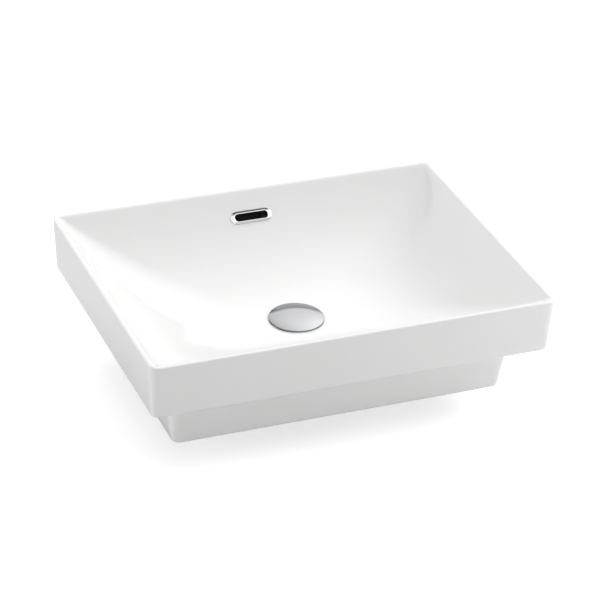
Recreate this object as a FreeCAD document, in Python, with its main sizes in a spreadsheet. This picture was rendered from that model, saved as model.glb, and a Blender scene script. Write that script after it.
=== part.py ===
import FreeCAD, Part
import math
import os
import re
import Sketcher

# Semi recessed wash basin with its overflow trim and a push-to-open waste.
# Millimetres. The origin is the centre of the ledge that rests on the worktop:
# +X runs along the length, +Y towards the overflow side and +Z up.

SIZES = [
    # the ceramic's outside: a drafted skirt above the worktop, a smaller drafted box below it
    ("basin_length", 500),
    ("basin_width", 375),
    ("skirt_height", 68),
    ("skirt_draft", 4.5),
    ("ledge_width", 29.5),
    ("box_height", 67),
    ("box_draft", 10.5),
    ("skirt_corner", 8),
    ("box_corner", 19),
    ("skirt_edge_round", 3),
    ("foot_edge_round", 5),
    ("rim_width", 6),
    ("rim_round_outer", 2),
    ("rim_round_inner", 2.5),
    # the bowl: how deep it is, and how slowly its level outline shrinks along and across
    ("bowl_depth", 84),
    ("fall_along", 4.65),
    ("fall_across", 2.94),
    ("bowl_corner_rim", 5),
    ("bowl_corner_floor", 71),
    # the hollow underside
    ("outer_wall", 9),
    ("bowl_wall_side", 5.5),
    ("bowl_wall_down", 8),
    ("throat_flare", 6),
    ("throat_depth", 5),
    ("hollow_height", 34),
    ("underside_corner", 25),
    # the waste hole
    ("waste_hole", 46),
    ("waste_recess", 4),
    ("recess_margin", 1),
    ("boss_diameter", 72),
    ("boss_height", 40),
    # the overflow: a slot high in the back wall and a duct from it down to the waste hole
    ("overflow_drop", 26.4),
    ("slot_length", 43),
    ("slot_height", 8.4),
    ("duct_width", 36),
    ("duct_height", 11),
    ("duct_wall", 7),
    ("duct_floor", 8),
    # overflow trim
    ("trim_end", 5.6),
    ("trim_side", 4),
    ("trim_edge", 0.6),
    ("trim_crest", 2.4),
    ("trim_mouth", 1.4),
    ("trim_ridge", 0.3),
    ("trim_lift", 0.3),
    ("sleeve_wall", 1.1),
    ("sleeve_depth", 13),
    ("grip_wall", 1),
    ("grip_rib", 0.5),
    ("grip_rib_width", 1.2),
    ("grip_length", 9),
    ("fit_gap", 0.1),
    # waste body
    ("tail_diameter", 41.91),
    ("tail_length", 85),
    ("trap_thread", 24),
    ("tail_groove_width", 1.5),
    ("tail_groove_depth", 1),
    ("waste_bore", 35.5),
    ("flange_diameter", 65),
    ("flange_thickness", 2),
    ("flange_chamfer", 0.8),
    ("flange_rim", 5),
    ("seat_cone", 3),
    ("dish_diameter", 58),
    ("dish_depth", 4.5),
    ("window_width", 10),
    ("window_height", 13),
    ("window_drop", 8.5),
    ("hub_diameter", 19),
    ("hub_height", 10),
    ("hub_drop", 31.5),
    ("arm_thickness", 3),
    # seals, washer and nut that clamp the waste to the ceramic
    ("flange_seal_thickness", 1.5),
    ("gasket_height", 7),
    ("gasket_diameter", 60),
    ("gasket_taper", 3),
    ("washer_thickness", 1.5),
    ("nut_across_flats", 52),
    ("nut_height", 9),
    ("nut_flange", 2.5),
    ("thread_gap", 0.05),
    # plug: domed cap, its carrier and seal
    ("cap_diameter", 67),
    ("cap_gap", 0.7),
    ("cap_edge", 2.9),
    ("cap_chamfer", 1),
    ("cap_rise", 1.4),
    ("cap_hollow", 1.7),
    ("cap_lip", 1.4),
    ("carrier_disc", 48),
    ("carrier_disc_thickness", 1.6),
    ("piston_diameter", 33.2),
    ("piston_depth", 12.5),
    ("socket_depth", 9),
    ("seal_section", 3),
    ("seal_gap", 0.28),
    ("seal_lift", 1.2),
    ("groove_gap", 0.1),
    # push-to-open cartridge
    ("barrel_diameter", 13),
    ("barrel_rise", 22.8),
    ("barrel_tail", 17.2),
    ("barrel_roof", 1.6),
    ("barrel_bore", 9.4),
    ("collar_across_flats", 17),
    ("collar_height", 4),
    ("rib_length", 17.2),
    ("rib_bore", 7.5),
    ("groove_width", 3),
    ("ramp_width", 2.1),
    ("ramp_height", 2.5),
    ("rod_diameter", 6),
    ("rod_gap", 0.1),
    ("crown_diameter", 7.2),
    ("crown_height", 5),
    ("fin_width", 2.4),
    ("fin_inner", 3),
    ("fin_reach", 4.45),
    ("fin_slant", 1.2),
    ("fin_gap", 0.2),
    ("rotor_height", 4.7),
    ("pin_diameter", 3),
    ("pin_length", 4),
    ("latch_gap", 0.3),
    ("spigot_diameter", 5.2),
    ("spigot_length", 2),
    ("end_plug_height", 4),
    ("spring_wire", 0.8),
    ("spring_diameter", 7.5),
    ("spring_gap", 0.1),
]

# How far down the bowl each of its level outlines is drawn, as a share of its depth.
BOWL_LEVELS = (0, 0.12, 0.26, 0.4, 0.54, 0.67, 0.78, 0.87, 0.93, 0.97, 0.99, 0.998)
UNDERSIDE_LEVELS = (0.12, 0.32, 0.52, 0.7, 0.85, 0.95)
MOST_CORNER = 0.8
SPRING_TURNS = 6
SPRING_SIDES = 6
QUARTERS = 4
RIB_COUNT = 4
GRIP_RIBS = 2
DOME_BANDS = (1, 0.7, 0.35)

# Heights and half sizes that several pieces share, worked out from the sheet.
BOWL_HALF_LENGTH = "(basin_length / 2 - rim_width)"
BOWL_HALF_WIDTH = "(basin_width / 2 - rim_width)"
LEDGE_HALF_LENGTH = "(basin_length / 2 - skirt_draft)"
LEDGE_HALF_WIDTH = "(basin_width / 2 - skirt_draft)"
BOX_HALF_LENGTH = "(basin_length / 2 - skirt_draft - ledge_width)"
BOX_HALF_WIDTH = "(basin_width / 2 - skirt_draft - ledge_width)"
FLOOR = "(skirt_height - bowl_depth)"
SEAT = f"({FLOOR} - waste_recess)"
BOSS_END = f"({SEAT} - boss_height)"
FLANGE_UNDERSIDE = f"({SEAT} + flange_seal_thickness)"
CONE_RADIUS = "(flange_diameter / 2 - flange_rim)"
CONE_SLOPE = f"(seat_cone / ({CONE_RADIUS} - tail_diameter / 2))"
CAP_EDGE = f"({FLOOR} + cap_gap)"
CARRIER_BOTTOM = f"({CAP_EDGE} + cap_hollow - piston_depth)"
HUB_TOP = f"({FLANGE_UNDERSIDE} - hub_drop)"
BARREL_BOTTOM = f"({HUB_TOP} - barrel_tail)"
BARREL_LENGTH = "(barrel_rise + barrel_tail)"
RIB_END = f"({HUB_TOP} + barrel_rise - barrel_roof - rib_length)"
ROTOR_TIP = f"({RIB_END} - latch_gap)"
ROTOR_TOP = f"({ROTOR_TIP} - fin_slant - latch_gap)"
ROTOR_BOTTOM = f"({ROTOR_TOP} - rotor_height)"
PLUG_TOP = f"({BARREL_BOTTOM} + end_plug_height)"

# The overflow slot's centre on the back wall, and the wall's slope there.
SLOT_ACROSS = f"({BOWL_HALF_WIDTH} * pow(1 - overflow_drop / bowl_depth; 1 / fall_across))"
SLOT_UP = "(skirt_height - overflow_drop)"
WALL_STEEPNESS = (
    f"(bowl_depth * fall_across / {BOWL_HALF_WIDTH}"
    f" * pow({SLOT_ACROSS} / {BOWL_HALF_WIDTH}; fall_across - 1))"
)
WALL_ANGLE = f"atan({WALL_STEEPNESS})"
SLEEVE_HALF_LENGTH = "(slot_length / 2 + sleeve_wall)"
SLEEVE_HALF_HEIGHT = "(slot_height / 2 + sleeve_wall)"
GRIP_HALF_LENGTH = f"({SLEEVE_HALF_LENGTH} + fit_gap + grip_wall)"
GRIP_HALF_HEIGHT = f"({SLEEVE_HALF_HEIGHT} + fit_gap + grip_wall)"

doc = FreeCAD.newDocument("semi_recessed_basin")
sheet = doc.addObject("Spreadsheet::Sheet", "Sizes")
for row, (alias, number) in enumerate(SIZES, start=1):
    sheet.set(f"A{row}", alias)
    sheet.set(f"B{row}", str(number))
    sheet.setAlias(f"B{row}", alias)
doc.recompute()
ALIASES = re.compile(r"\b(" + "|".join(alias for alias, number in SIZES) + r")\b")


def value(text):
    """The number that an expression in the sheet's words comes to."""
    result = sheet.evalExpression(text)
    return float(getattr(result, "Value", result))


def bind(thing, path, text):
    """Tie one property or constraint of an object to the sheet."""
    thing.setExpression(path, ALIASES.sub(r"Sizes.\1", text))


def new_body(name):
    return doc.addObject("PartDesign::Body", name)


def origin_feature(body, role):
    return [item for item in body.Origin.OriginFeatures if item.Role == role][0]


def new_sketch(body, name, plane, offset="0"):
    """A sketch on one of the body's own planes, moved along that plane's normal."""
    sketch = body.newObject("Sketcher::SketchObject", name)
    sketch.AttachmentSupport = [(origin_feature(body, plane), "")]
    sketch.MapMode = "FlatFace"
    sketch.AttachmentOffset = FreeCAD.Placement(
        FreeCAD.Vector(0, 0, value(offset)), FreeCAD.Rotation()
    )
    bind(sketch, ".AttachmentOffset.Base.z", offset)
    return sketch


def measure(sketch, kind, geometry, point, text):
    """A dimension from the sketch's origin to a point, tied to the sheet."""
    index = sketch.addConstraint(Sketcher.Constraint(kind, geometry, point, value(text)))
    bind(sketch, f"Constraints[{index}]", text)


def outline(sketch, corners):
    """A closed outline of straight edges; each corner is a pair of expressions, across and up."""
    points = [FreeCAD.Vector(value(across), value(up), 0) for across, up in corners]
    count = len(points)
    for index, start in enumerate(points):
        sketch.addGeometry(Part.LineSegment(start, points[(index + 1) % count]))
    for index in range(count):
        following = (index + 1) % count
        sketch.addConstraint(Sketcher.Constraint("Coincident", index, 2, following, 1))
    for index, (across, up) in enumerate(corners):
        measure(sketch, "DistanceX", index, 1, across)
        measure(sketch, "DistanceY", index, 1, up)


def circle(sketch, diameter, across="0", up="0"):
    """A circle of a diameter about a point of the sketch."""
    centre = FreeCAD.Vector(value(across), value(up), 0)
    ring = Part.Circle(centre, FreeCAD.Vector(0, 0, 1), value(diameter) / 2)
    index = sketch.addGeometry(ring)
    measure(sketch, "DistanceX", index, 3, across)
    measure(sketch, "DistanceY", index, 3, up)
    number = sketch.addConstraint(Sketcher.Constraint("Diameter", index, value(diameter)))
    bind(sketch, f"Constraints[{number}]", diameter)


def rounded_rectangle(sketch, half_length, half_width, radius):
    """A rectangle with four equal rounded corners, centred on the sketch's origin."""
    along = value(half_length)
    across = value(half_width)
    corner = value(radius)
    flat_along = along - corner
    flat_across = across - corner
    vector = FreeCAD.Vector
    quarter = math.pi / 2
    sides = [
        (vector(-flat_along, -across, 0), vector(flat_along, -across, 0)),
        (vector(along, -flat_across, 0), vector(along, flat_across, 0)),
        (vector(flat_along, across, 0), vector(-flat_along, across, 0)),
        (vector(-along, flat_across, 0), vector(-along, -flat_across, 0)),
    ]
    centres = [
        vector(flat_along, -flat_across, 0),
        vector(flat_along, flat_across, 0),
        vector(-flat_along, flat_across, 0),
        vector(-flat_along, -flat_across, 0),
    ]
    for index in range(QUARTERS):
        sketch.addGeometry(Part.LineSegment(*sides[index]))
        round_corner = Part.Circle(centres[index], vector(0, 0, 1), corner)
        start = (index - 1) * quarter
        sketch.addGeometry(Part.ArcOfCircle(round_corner, start, start + quarter))
    edges = 2 * QUARTERS
    for index in range(edges):
        following = (index + 1) % edges
        sketch.addConstraint(Sketcher.Constraint("Tangent", index, 2, following, 1))
    for index in (0, 4):
        sketch.addConstraint(Sketcher.Constraint("Horizontal", index))
    for index in (2, 6):
        sketch.addConstraint(Sketcher.Constraint("Vertical", index))
    for index in (3, 5, 7):
        sketch.addConstraint(Sketcher.Constraint("Equal", 1, index))
    sketch.addConstraint(Sketcher.Constraint("Symmetric", 1, 3, 5, 3, -1, 1))
    measure(sketch, "DistanceX", 2, 1, half_length)
    measure(sketch, "DistanceY", 4, 1, half_width)
    number = sketch.addConstraint(Sketcher.Constraint("Radius", 1, corner))
    bind(sketch, f"Constraints[{number}]", radius)


def oblong(sketch, half_length, half_height):
    """A slot outline with round ends, centred on the sketch's origin."""
    reach = value(half_height)
    flat = value(half_length) - reach
    vector = FreeCAD.Vector
    right_end = Part.Circle(vector(flat, 0, 0), vector(0, 0, 1), reach)
    left_end = Part.Circle(vector(-flat, 0, 0), vector(0, 0, 1), reach)
    sketch.addGeometry(Part.LineSegment(vector(-flat, -reach, 0), vector(flat, -reach, 0)))
    sketch.addGeometry(Part.ArcOfCircle(right_end, -math.pi / 2, math.pi / 2))
    sketch.addGeometry(Part.LineSegment(vector(flat, reach, 0), vector(-flat, reach, 0)))
    sketch.addGeometry(Part.ArcOfCircle(left_end, math.pi / 2, 3 * math.pi / 2))
    for index in range(4):
        following = (index + 1) % 4
        sketch.addConstraint(Sketcher.Constraint("Tangent", index, 2, following, 1))
    sketch.addConstraint(Sketcher.Constraint("Horizontal", 0))
    sketch.addConstraint(Sketcher.Constraint("Symmetric", 1, 3, 3, 3, -1, 1))
    measure(sketch, "DistanceX", 1, 3, f"{half_length} - {half_height}")
    measure(sketch, "DistanceY", 2, 1, half_height)


def hexagon(sketch, across_flats):
    """A regular hexagon centred on the sketch's origin, two of its sides level."""
    flat = f"({across_flats} / 2)"
    side = f"({across_flats} / sqrt(12))"
    corners = [
        (f"2 * {side}", "0"),
        (side, flat),
        (f"-{side}", flat),
        (f"-2 * {side}", "0"),
        (f"-{side}", f"-{flat}"),
        (side, f"-{flat}"),
    ]
    outline(sketch, corners)


def loft(body, name, sections, cuts=False):
    """Join level outlines by ruled bands into one form, added to the body or cut from it."""
    kind = "PartDesign::SubtractiveLoft" if cuts else "PartDesign::AdditiveLoft"
    feature = body.newObject(kind, name)
    feature.Profile = sections[0]
    feature.Sections = sections[1:]
    feature.Ruled = True
    doc.recompute()
    return feature


def revolve(body, name, sketch):
    feature = body.newObject("PartDesign::Revolution", name)
    feature.Profile = sketch
    feature.ReferenceAxis = (sketch, ["V_Axis"])
    feature.Angle = 360
    doc.recompute()
    return feature


def groove(body, name, sketch):
    """A turned cut about the body's upright axis."""
    feature = body.newObject("PartDesign::Groove", name)
    feature.Profile = sketch
    feature.ReferenceAxis = (sketch, ["V_Axis"])
    feature.Angle = 360
    doc.recompute()
    return feature


def pad(body, name, sketch, length, reversed_way=False, both_ways=False):
    feature = body.newObject("PartDesign::Pad", name)
    feature.Profile = sketch
    feature.Length = value(length)
    bind(feature, "Length", length)
    feature.Reversed = reversed_way
    feature.Midplane = both_ways
    doc.recompute()
    return feature


def pocket(body, name, sketch, length, reversed_way=False, both_ways=False):
    feature = body.newObject("PartDesign::Pocket", name)
    feature.Profile = sketch
    feature.Length = value(length)
    bind(feature, "Length", length)
    feature.Reversed = reversed_way
    feature.Midplane = both_ways
    doc.recompute()
    return feature


def repeat_around(body, name, feature, count, sweep=360):
    """Copies of a feature about the body's upright axis, evenly spaced over a sweep."""
    pattern = body.newObject("PartDesign::PolarPattern", name)
    pattern.Originals = [feature]
    pattern.Axis = (origin_feature(body, "Z_Axis"), [""])
    pattern.Angle = sweep
    pattern.Occurrences = count
    body.Tip = pattern
    doc.recompute()
    return pattern


def middle_of(edge):
    return edge.valueAt((edge.FirstParameter + edge.LastParameter) / 2)


def round_edges(body, name, base, chosen, radius):
    """Round those edges of a feature that a test of their middle point picks."""
    edges = []
    for number, edge in enumerate(base.Shape.Edges, start=1):
        if chosen(middle_of(edge)):
            edges.append(f"Edge{number}")
    feature = body.newObject("PartDesign::Fillet", name)
    feature.Base = (base, edges)
    feature.Radius = value(radius)
    bind(feature, "Radius", radius)
    doc.recompute()
    return feature


def lift(body, height):
    """Stand a piece, drawn from its own lowest face up, at its height in the assembly."""
    body.Placement.Base.z = value(height)
    bind(body, ".Placement.Base.z", height)


def tilt_to_back_wall(body):
    """Lay a piece, drawn on a level wall, square on the sloping wall at the overflow slot."""
    turn = FreeCAD.Rotation(FreeCAD.Vector(1, 0, 0), value(WALL_ANGLE))
    body.Placement = FreeCAD.Placement(
        FreeCAD.Vector(0, value(SLOT_ACROSS), value(SLOT_UP)), turn
    )
    bind(body, ".Placement.Base.y", SLOT_ACROSS)
    bind(body, ".Placement.Base.z", SLOT_UP)
    bind(body, ".Placement.Rotation.Angle", WALL_ANGLE)


def bowl_sections(body, name, levels, side="0", down="0", corner=None):
    """The bowl's level outlines, grown sideways and sunk by the thickness of its wall.

    Without a corner radius of their own they have the bowl's, which grows towards the floor.
    """
    sections = []
    for number, share in enumerate(levels):
        along = f"({BOWL_HALF_LENGTH} * pow(1 - {share}; 1 / fall_along) + {side})"
        across = f"({BOWL_HALF_WIDTH} * pow(1 - {share}; 1 / fall_across) + {side})"
        growing = f"(bowl_corner_rim + (bowl_corner_floor - bowl_corner_rim) * {share})"
        radius = f"min({corner or growing}; {across} * {MOST_CORNER})"
        level = f"(skirt_height - bowl_depth * {share} - {down})"
        sketch = new_sketch(body, f"{name}_{number}", "XY_Plane", level)
        rounded_rectangle(sketch, along, across, radius)
        sections.append(sketch)
    return sections


def bowl_underside(share):
    """Across and up of a point under the bowl wall, a share of its half width from the middle."""
    across = f"({BOWL_HALF_WIDTH} * {share} + bowl_wall_side)"
    up = f"(skirt_height - bowl_depth * (1 - pow({share}; fall_across)) - bowl_wall_down)"
    return across, up


def drafted_box(body, name, level, half_sizes, corner, height, widening, cuts=False, down=False):
    """A rounded box drawn at a level, up or down from it, that widens by so much on each side."""
    sketch = new_sketch(body, f"{name}_outline", "XY_Plane", level)
    rounded_rectangle(sketch, half_sizes[0], half_sizes[1], corner)
    kind = "PartDesign::Pocket" if cuts else "PartDesign::Pad"
    feature = body.newObject(kind, name)
    feature.Profile = sketch
    feature.Length = value(height)
    bind(feature, "Length", height)
    feature.Reversed = down != cuts
    draft = f"atan({widening} / {height})"
    feature.TaperAngle = value(draft)
    bind(feature, "TaperAngle", draft)
    doc.recompute()
    return feature


def duct_points():
    """Corners of the overflow duct's passage in the upright middle plane, across and up."""
    roof = [bowl_underside(share) for share in (0.1, 0.35, 0.55, 0.72, 0.86)]
    inside_bore = "(waste_hole / 2 - duct_wall)"
    passage = [(inside_bore, roof[0][1])] + roof
    chamber_back = f"({LEDGE_HALF_WIDTH} - outer_wall)"
    throat = f"({BOX_HALF_WIDTH} - outer_wall)"
    passage.append((f"({chamber_back} - duct_height / 4)", "(hollow_height + duct_height / 2)"))
    passage.append((chamber_back, "(hollow_height)"))
    passage.append((chamber_back, "(outer_wall)"))
    passage.append((f"({throat} + throat_flare)", "(outer_wall)"))
    passage.append((f"({throat} - box_draft * throat_depth / box_height)", "(-throat_depth)"))
    for across, up in reversed(roof[:3]):
        passage.append((f"({across} + duct_height / 3)", f"({up} - duct_height)"))
    passage.append((inside_bore, f"({roof[0][1]} - duct_height)"))
    return passage


def duct_block_points():
    """Corners of the solid that carries the duct, which ends inside the outer walls."""
    roof = [bowl_underside(share) for share in (0.1, 0.35, 0.55)]
    depth = "(duct_height + duct_floor)"
    inside_bore = "(waste_hole / 2 - duct_wall)"
    in_box_wall = f"({BOX_HALF_WIDTH} - outer_wall / 2)"
    in_skirt_wall = f"({LEDGE_HALF_WIDTH} - outer_wall / 2)"
    block = [(inside_bore, "(hollow_height)"), (inside_bore, f"({roof[0][1]} - {depth})")]
    for across, up in roof:
        block.append((f"({across} + {depth} / 3)", f"({up} - {depth})"))
    block.append((f"({in_box_wall} - box_draft / 5)", "(-box_height / 5)"))
    block.append((in_box_wall, "(outer_wall / 2)"))
    block.append((in_skirt_wall, "(outer_wall / 2)"))
    block.append((in_skirt_wall, "(hollow_height + duct_height)"))
    return block


def make_basin():
    """The ceramic: one casting, with the skirt, the box, the bowl and the duct in it."""
    body = new_body("ceramic_basin")
    ledge = (LEDGE_HALF_LENGTH, LEDGE_HALF_WIDTH)
    box = (BOX_HALF_LENGTH, BOX_HALF_WIDTH)
    drafted_box(body, "skirt", "0", ledge, "skirt_corner", "skirt_height", "skirt_draft")
    lower_box = drafted_box(
        body, "lower_box", "0", box, "box_corner", "box_height", "(-box_draft)", down=True
    )

    ledge_reach = value(BOX_HALF_LENGTH)
    ledge_depth = value(BOX_HALF_WIDTH)
    foot = -value("box_height")

    def on_skirt_edge(point):
        outside = abs(point.x) > ledge_reach + 1 or abs(point.y) > ledge_depth + 1
        return abs(point.z) < 0.01 and outside

    skirt_round = round_edges(body, "skirt_round", lower_box, on_skirt_edge, "skirt_edge_round")
    foot_round = round_edges(
        body, "foot_round", skirt_round, lambda point: point.z < foot + 0.01, "foot_edge_round"
    )
    rim_height = value("skirt_height")
    round_edges(
        body, "rim_round", foot_round, lambda point: point.z > rim_height - 0.01, "rim_round_outer"
    )

    lean = "(box_draft / box_height)"
    throat = tuple(f"({half} - outer_wall - {lean} * throat_depth)" for half in box)
    inner_corner = "(box_corner - outer_wall / 2)"
    below_throat = "(box_height - throat_depth)"
    drafted_box(
        body,
        "lower_hollow",
        "-throat_depth",
        throat,
        inner_corner,
        below_throat,
        f"(-{lean} * {below_throat})",
        cuts=True,
        down=True,
    )
    throat_height = "(throat_depth + outer_wall)"
    drafted_box(
        body,
        "throat_hollow",
        "-throat_depth",
        throat,
        inner_corner,
        throat_height,
        f"(throat_flare + {lean} * throat_depth)",
        cuts=True,
    )
    skirt_lean = "(skirt_draft / skirt_height)"
    inside_skirt = tuple(f"({half} + {skirt_lean} * outer_wall - outer_wall)" for half in ledge)
    drafted_box(
        body,
        "skirt_hollow",
        "outer_wall",
        inside_skirt,
        "skirt_corner",
        "(hollow_height - outer_wall)",
        f"({skirt_lean} * (hollow_height - outer_wall))",
        cuts=True,
    )

    under = bowl_sections(
        body, "underside", UNDERSIDE_LEVELS, "bowl_wall_side", "bowl_wall_down", "underside_corner"
    )
    loft(body, "bowl_outside", under)
    boss = new_sketch(body, "boss_outline", "XY_Plane", BOSS_END)
    circle(boss, "boss_diameter")
    pad(body, "drain_boss", boss, "boss_height")
    block = new_sketch(body, "duct_block_outline", "YZ_Plane")
    outline(block, duct_block_points())
    pad(body, "duct_block", block, "duct_width + 2 * duct_wall", both_ways=True)

    bowl = loft(body, "bowl", bowl_sections(body, "bowl", BOWL_LEVELS), cuts=True)
    inner_reach = value(BOWL_HALF_LENGTH) + value("rim_width") / 4
    inner_depth = value(BOWL_HALF_WIDTH) + value("rim_width") / 4

    def on_inner_rim(point):
        inside = abs(point.x) < inner_reach and abs(point.y) < inner_depth
        return point.z > rim_height - 0.01 and inside

    round_edges(body, "inner_rim_round", bowl, on_inner_rim, "rim_round_inner")

    recess = "(flange_diameter / 2 + recess_margin)"
    hole = new_sketch(body, "waste_hole_outline", "XZ_Plane")
    hole_corners = [
        ("0", f"({BOSS_END} - 1)"),
        ("waste_hole / 2", f"({BOSS_END} - 1)"),
        ("waste_hole / 2", f"({SEAT} - {CONE_SLOPE} * ({CONE_RADIUS} - waste_hole / 2))"),
        (CONE_RADIUS, SEAT),
        (recess, SEAT),
        (recess, f"({FLOOR} + waste_recess)"),
        ("0", f"({FLOOR} + waste_recess)"),
    ]
    outline(hole, hole_corners)
    groove(body, "waste_hole", hole)
    passage = new_sketch(body, "duct_outline", "YZ_Plane")
    outline(passage, duct_points())
    pocket(body, "duct_passage", passage, "duct_width", both_ways=True)
    slot = new_sketch(body, "slot_outline", "XY_Plane")
    slot.AttachmentOffset = FreeCAD.Placement(
        FreeCAD.Vector(0, value(SLOT_ACROSS), value(SLOT_UP)),
        FreeCAD.Rotation(FreeCAD.Vector(1, 0, 0), value(WALL_ANGLE)),
    )
    bind(slot, ".AttachmentOffset.Base.y", SLOT_ACROSS)
    bind(slot, ".AttachmentOffset.Base.z", SLOT_UP)
    bind(slot, ".AttachmentOffset.Rotation.Angle", WALL_ANGLE)
    slack = "(grip_rib + fit_gap)"
    oblong(slot, f"({GRIP_HALF_LENGTH} + {slack})", f"({GRIP_HALF_HEIGHT} + {slack})")
    pocket(body, "overflow_slot", slot, "2 * sleeve_depth", both_ways=True)
    return body


def make_overflow_trim():
    """Plated oblong ring: a flange on the wall, bevelled up to a ridge, and a sleeve into the slot.

    The mouth is rounded from the ridge into the sleeve.
    """
    body = new_body("overflow_trim")
    flange_half_length = "(slot_length / 2 + trim_end)"
    flange_half_height = "(slot_height / 2 + trim_side)"
    foot = new_sketch(body, "flange_outline", "XY_Plane", "trim_lift")
    oblong(foot, flange_half_length, flange_half_height)
    pad(body, "flange", foot, "trim_edge")
    low = new_sketch(body, "bevel_foot", "XY_Plane", "trim_lift + trim_edge")
    oblong(low, flange_half_length, flange_half_height)
    crest = new_sketch(body, "bevel_crest", "XY_Plane", "trim_lift + trim_crest")
    ridge = "trim_mouth + trim_ridge"
    oblong(crest, f"(slot_length / 2 + {ridge})", f"(slot_height / 2 + {ridge})")
    loft(body, "bevel", [low, crest])
    sleeve = new_sketch(body, "sleeve_outline", "XY_Plane", "trim_lift")
    oblong(sleeve, SLEEVE_HALF_LENGTH, SLEEVE_HALF_HEIGHT)
    pad(body, "sleeve", sleeve, "sleeve_depth", reversed_way=True)
    opening = new_sketch(body, "opening_outline", "XY_Plane", "trim_lift + trim_crest + 1")
    oblong(opening, "slot_length / 2", "slot_height / 2")
    cut = pocket(body, "opening", opening, "sleeve_depth + trim_crest + 2")
    top = value("trim_lift + trim_crest")
    mouth_end = value("slot_length / 2") + 0.01
    mouth_side = value("slot_height / 2") + 0.01

    def on_mouth(point):
        return abs(point.z - top) < 0.01 and abs(point.x) < mouth_end and abs(point.y) < mouth_side

    round_edges(body, "mouth_round", cut, on_mouth, "trim_mouth")
    tilt_to_back_wall(body)
    return body


def make_overflow_grip():
    """Rubber collar on the sleeve, ribbed so that it holds in the ceramic slot."""
    body = new_body("overflow_grip")
    start = "(trim_lift - fit_gap - grip_length - grip_rib_width)"
    collar = new_sketch(body, "collar_outline", "XY_Plane", start)
    oblong(collar, GRIP_HALF_LENGTH, GRIP_HALF_HEIGHT)
    pad(body, "collar", collar, "grip_length")
    for rib in range(GRIP_RIBS):
        level = f"({start} + {rib} * (grip_length - grip_rib_width) / {GRIP_RIBS - 1})"
        ring = new_sketch(body, f"rib_outline_{rib}", "XY_Plane", level)
        oblong(ring, f"({GRIP_HALF_LENGTH} + grip_rib)", f"({GRIP_HALF_HEIGHT} + grip_rib)")
        pad(body, f"rib_{rib}", ring, "grip_rib_width")
    hollow = new_sketch(body, "hollow_outline", "XY_Plane", f"({start} - 1)")
    oblong(hollow, f"({SLEEVE_HALF_LENGTH} + fit_gap)", f"({SLEEVE_HALF_HEIGHT} + fit_gap)")
    pocket(body, "hollow", hollow, "grip_length + 2", reversed_way=True)
    tilt_to_back_wall(body)
    return body


def make_waste_body():
    """Flanged brass tube with overflow windows and a four-armed bridge for the cartridge.

    A turned groove parts the stretch that the nut clamps on from the one that a trap screws to.
    """
    body = new_body("waste_body")
    profile = new_sketch(body, "tube_profile", "XZ_Plane")
    flange_top = "(tail_length + flange_thickness)"
    groove_floor = "(tail_diameter / 2 - tail_groove_depth)"
    groove_top = "(trap_thread + tail_groove_width)"
    corners = [
        ("waste_bore / 2", "0"),
        ("tail_diameter / 2", "0"),
        ("tail_diameter / 2", "trap_thread"),
        (groove_floor, "trap_thread"),
        (groove_floor, groove_top),
        ("tail_diameter / 2", groove_top),
        ("tail_diameter / 2", "tail_length - seat_cone"),
        (CONE_RADIUS, "tail_length"),
        ("flange_diameter / 2", "tail_length"),
        ("flange_diameter / 2", f"({flange_top} - flange_chamfer)"),
        ("flange_diameter / 2 - flange_chamfer", flange_top),
        ("dish_diameter / 2", flange_top),
        ("waste_bore / 2", f"({flange_top} - dish_depth)"),
    ]
    outline(profile, corners)
    revolve(body, "tube", profile)
    window = new_sketch(body, "window_outline", "XZ_Plane")
    top = "(tail_length - window_drop)"
    window_corners = [
        ("-window_width / 2", f"({top} - window_height)"),
        ("window_width / 2", f"({top} - window_height)"),
        ("window_width / 2", top),
        ("-window_width / 2", top),
    ]
    outline(window, window_corners)
    windows = pocket(body, "window_pair", window, "tail_diameter + 2", both_ways=True)
    repeat_around(body, "window_pairs", windows, 2, 180)
    hub_bottom = "(tail_length - hub_drop - hub_height)"
    arm = new_sketch(body, "arm_outline", "XY_Plane", hub_bottom)
    reach = "(waste_bore / 2 + (tail_diameter - waste_bore) / 4)"
    arm_corners = [
        (f"-{reach}", "-arm_thickness / 2"),
        (reach, "-arm_thickness / 2"),
        (reach, "arm_thickness / 2"),
        (f"-{reach}", "arm_thickness / 2"),
    ]
    outline(arm, arm_corners)
    arms = pad(body, "arm_pair", arm, "hub_height - 2")
    repeat_around(body, "arm_pairs", arms, 2, 180)
    hub = new_sketch(body, "hub_outline", "XY_Plane", hub_bottom)
    circle(hub, "hub_diameter")
    pad(body, "hub", hub, "hub_height")
    bore = new_sketch(body, "hub_bore_outline", "XY_Plane", f"({hub_bottom} - 1)")
    circle(bore, "barrel_diameter + 2 * thread_gap")
    pocket(body, "hub_bore", bore, "hub_height + 2", reversed_way=True)
    lift(body, f"({FLANGE_UNDERSIDE} - tail_length)")
    return body


def turned_ring(name, height, corners):
    """A ring turned from one outline, standing at a height."""
    body = new_body(name)
    profile = new_sketch(body, f"{name}_profile", "XZ_Plane")
    outline(profile, corners)
    revolve(body, f"{name}_ring", profile)
    lift(body, height)
    return body


def make_flange_seal():
    """Flat rubber ring between the flange and the ceramic."""
    inner = f"({CONE_RADIUS} + fit_gap)"
    outer = "(flange_diameter / 2 + recess_margin / 2)"
    thickness = "flange_seal_thickness"
    corners = [(inner, "0"), (outer, "0"), (outer, thickness), (inner, thickness)]
    return turned_ring("flange_seal", SEAT, corners)


def make_lower_gasket():
    """Tapered rubber gasket that seals the waste to the underside of the drain boss."""
    inner = "(tail_diameter / 2 + thread_gap)"
    corners = [
        (inner, "0"),
        ("gasket_diameter / 2", "0"),
        ("gasket_diameter / 2 - gasket_taper", "gasket_height"),
        (inner, "gasket_height"),
    ]
    return turned_ring("lower_gasket", f"({BOSS_END} - gasket_height)", corners)


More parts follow.
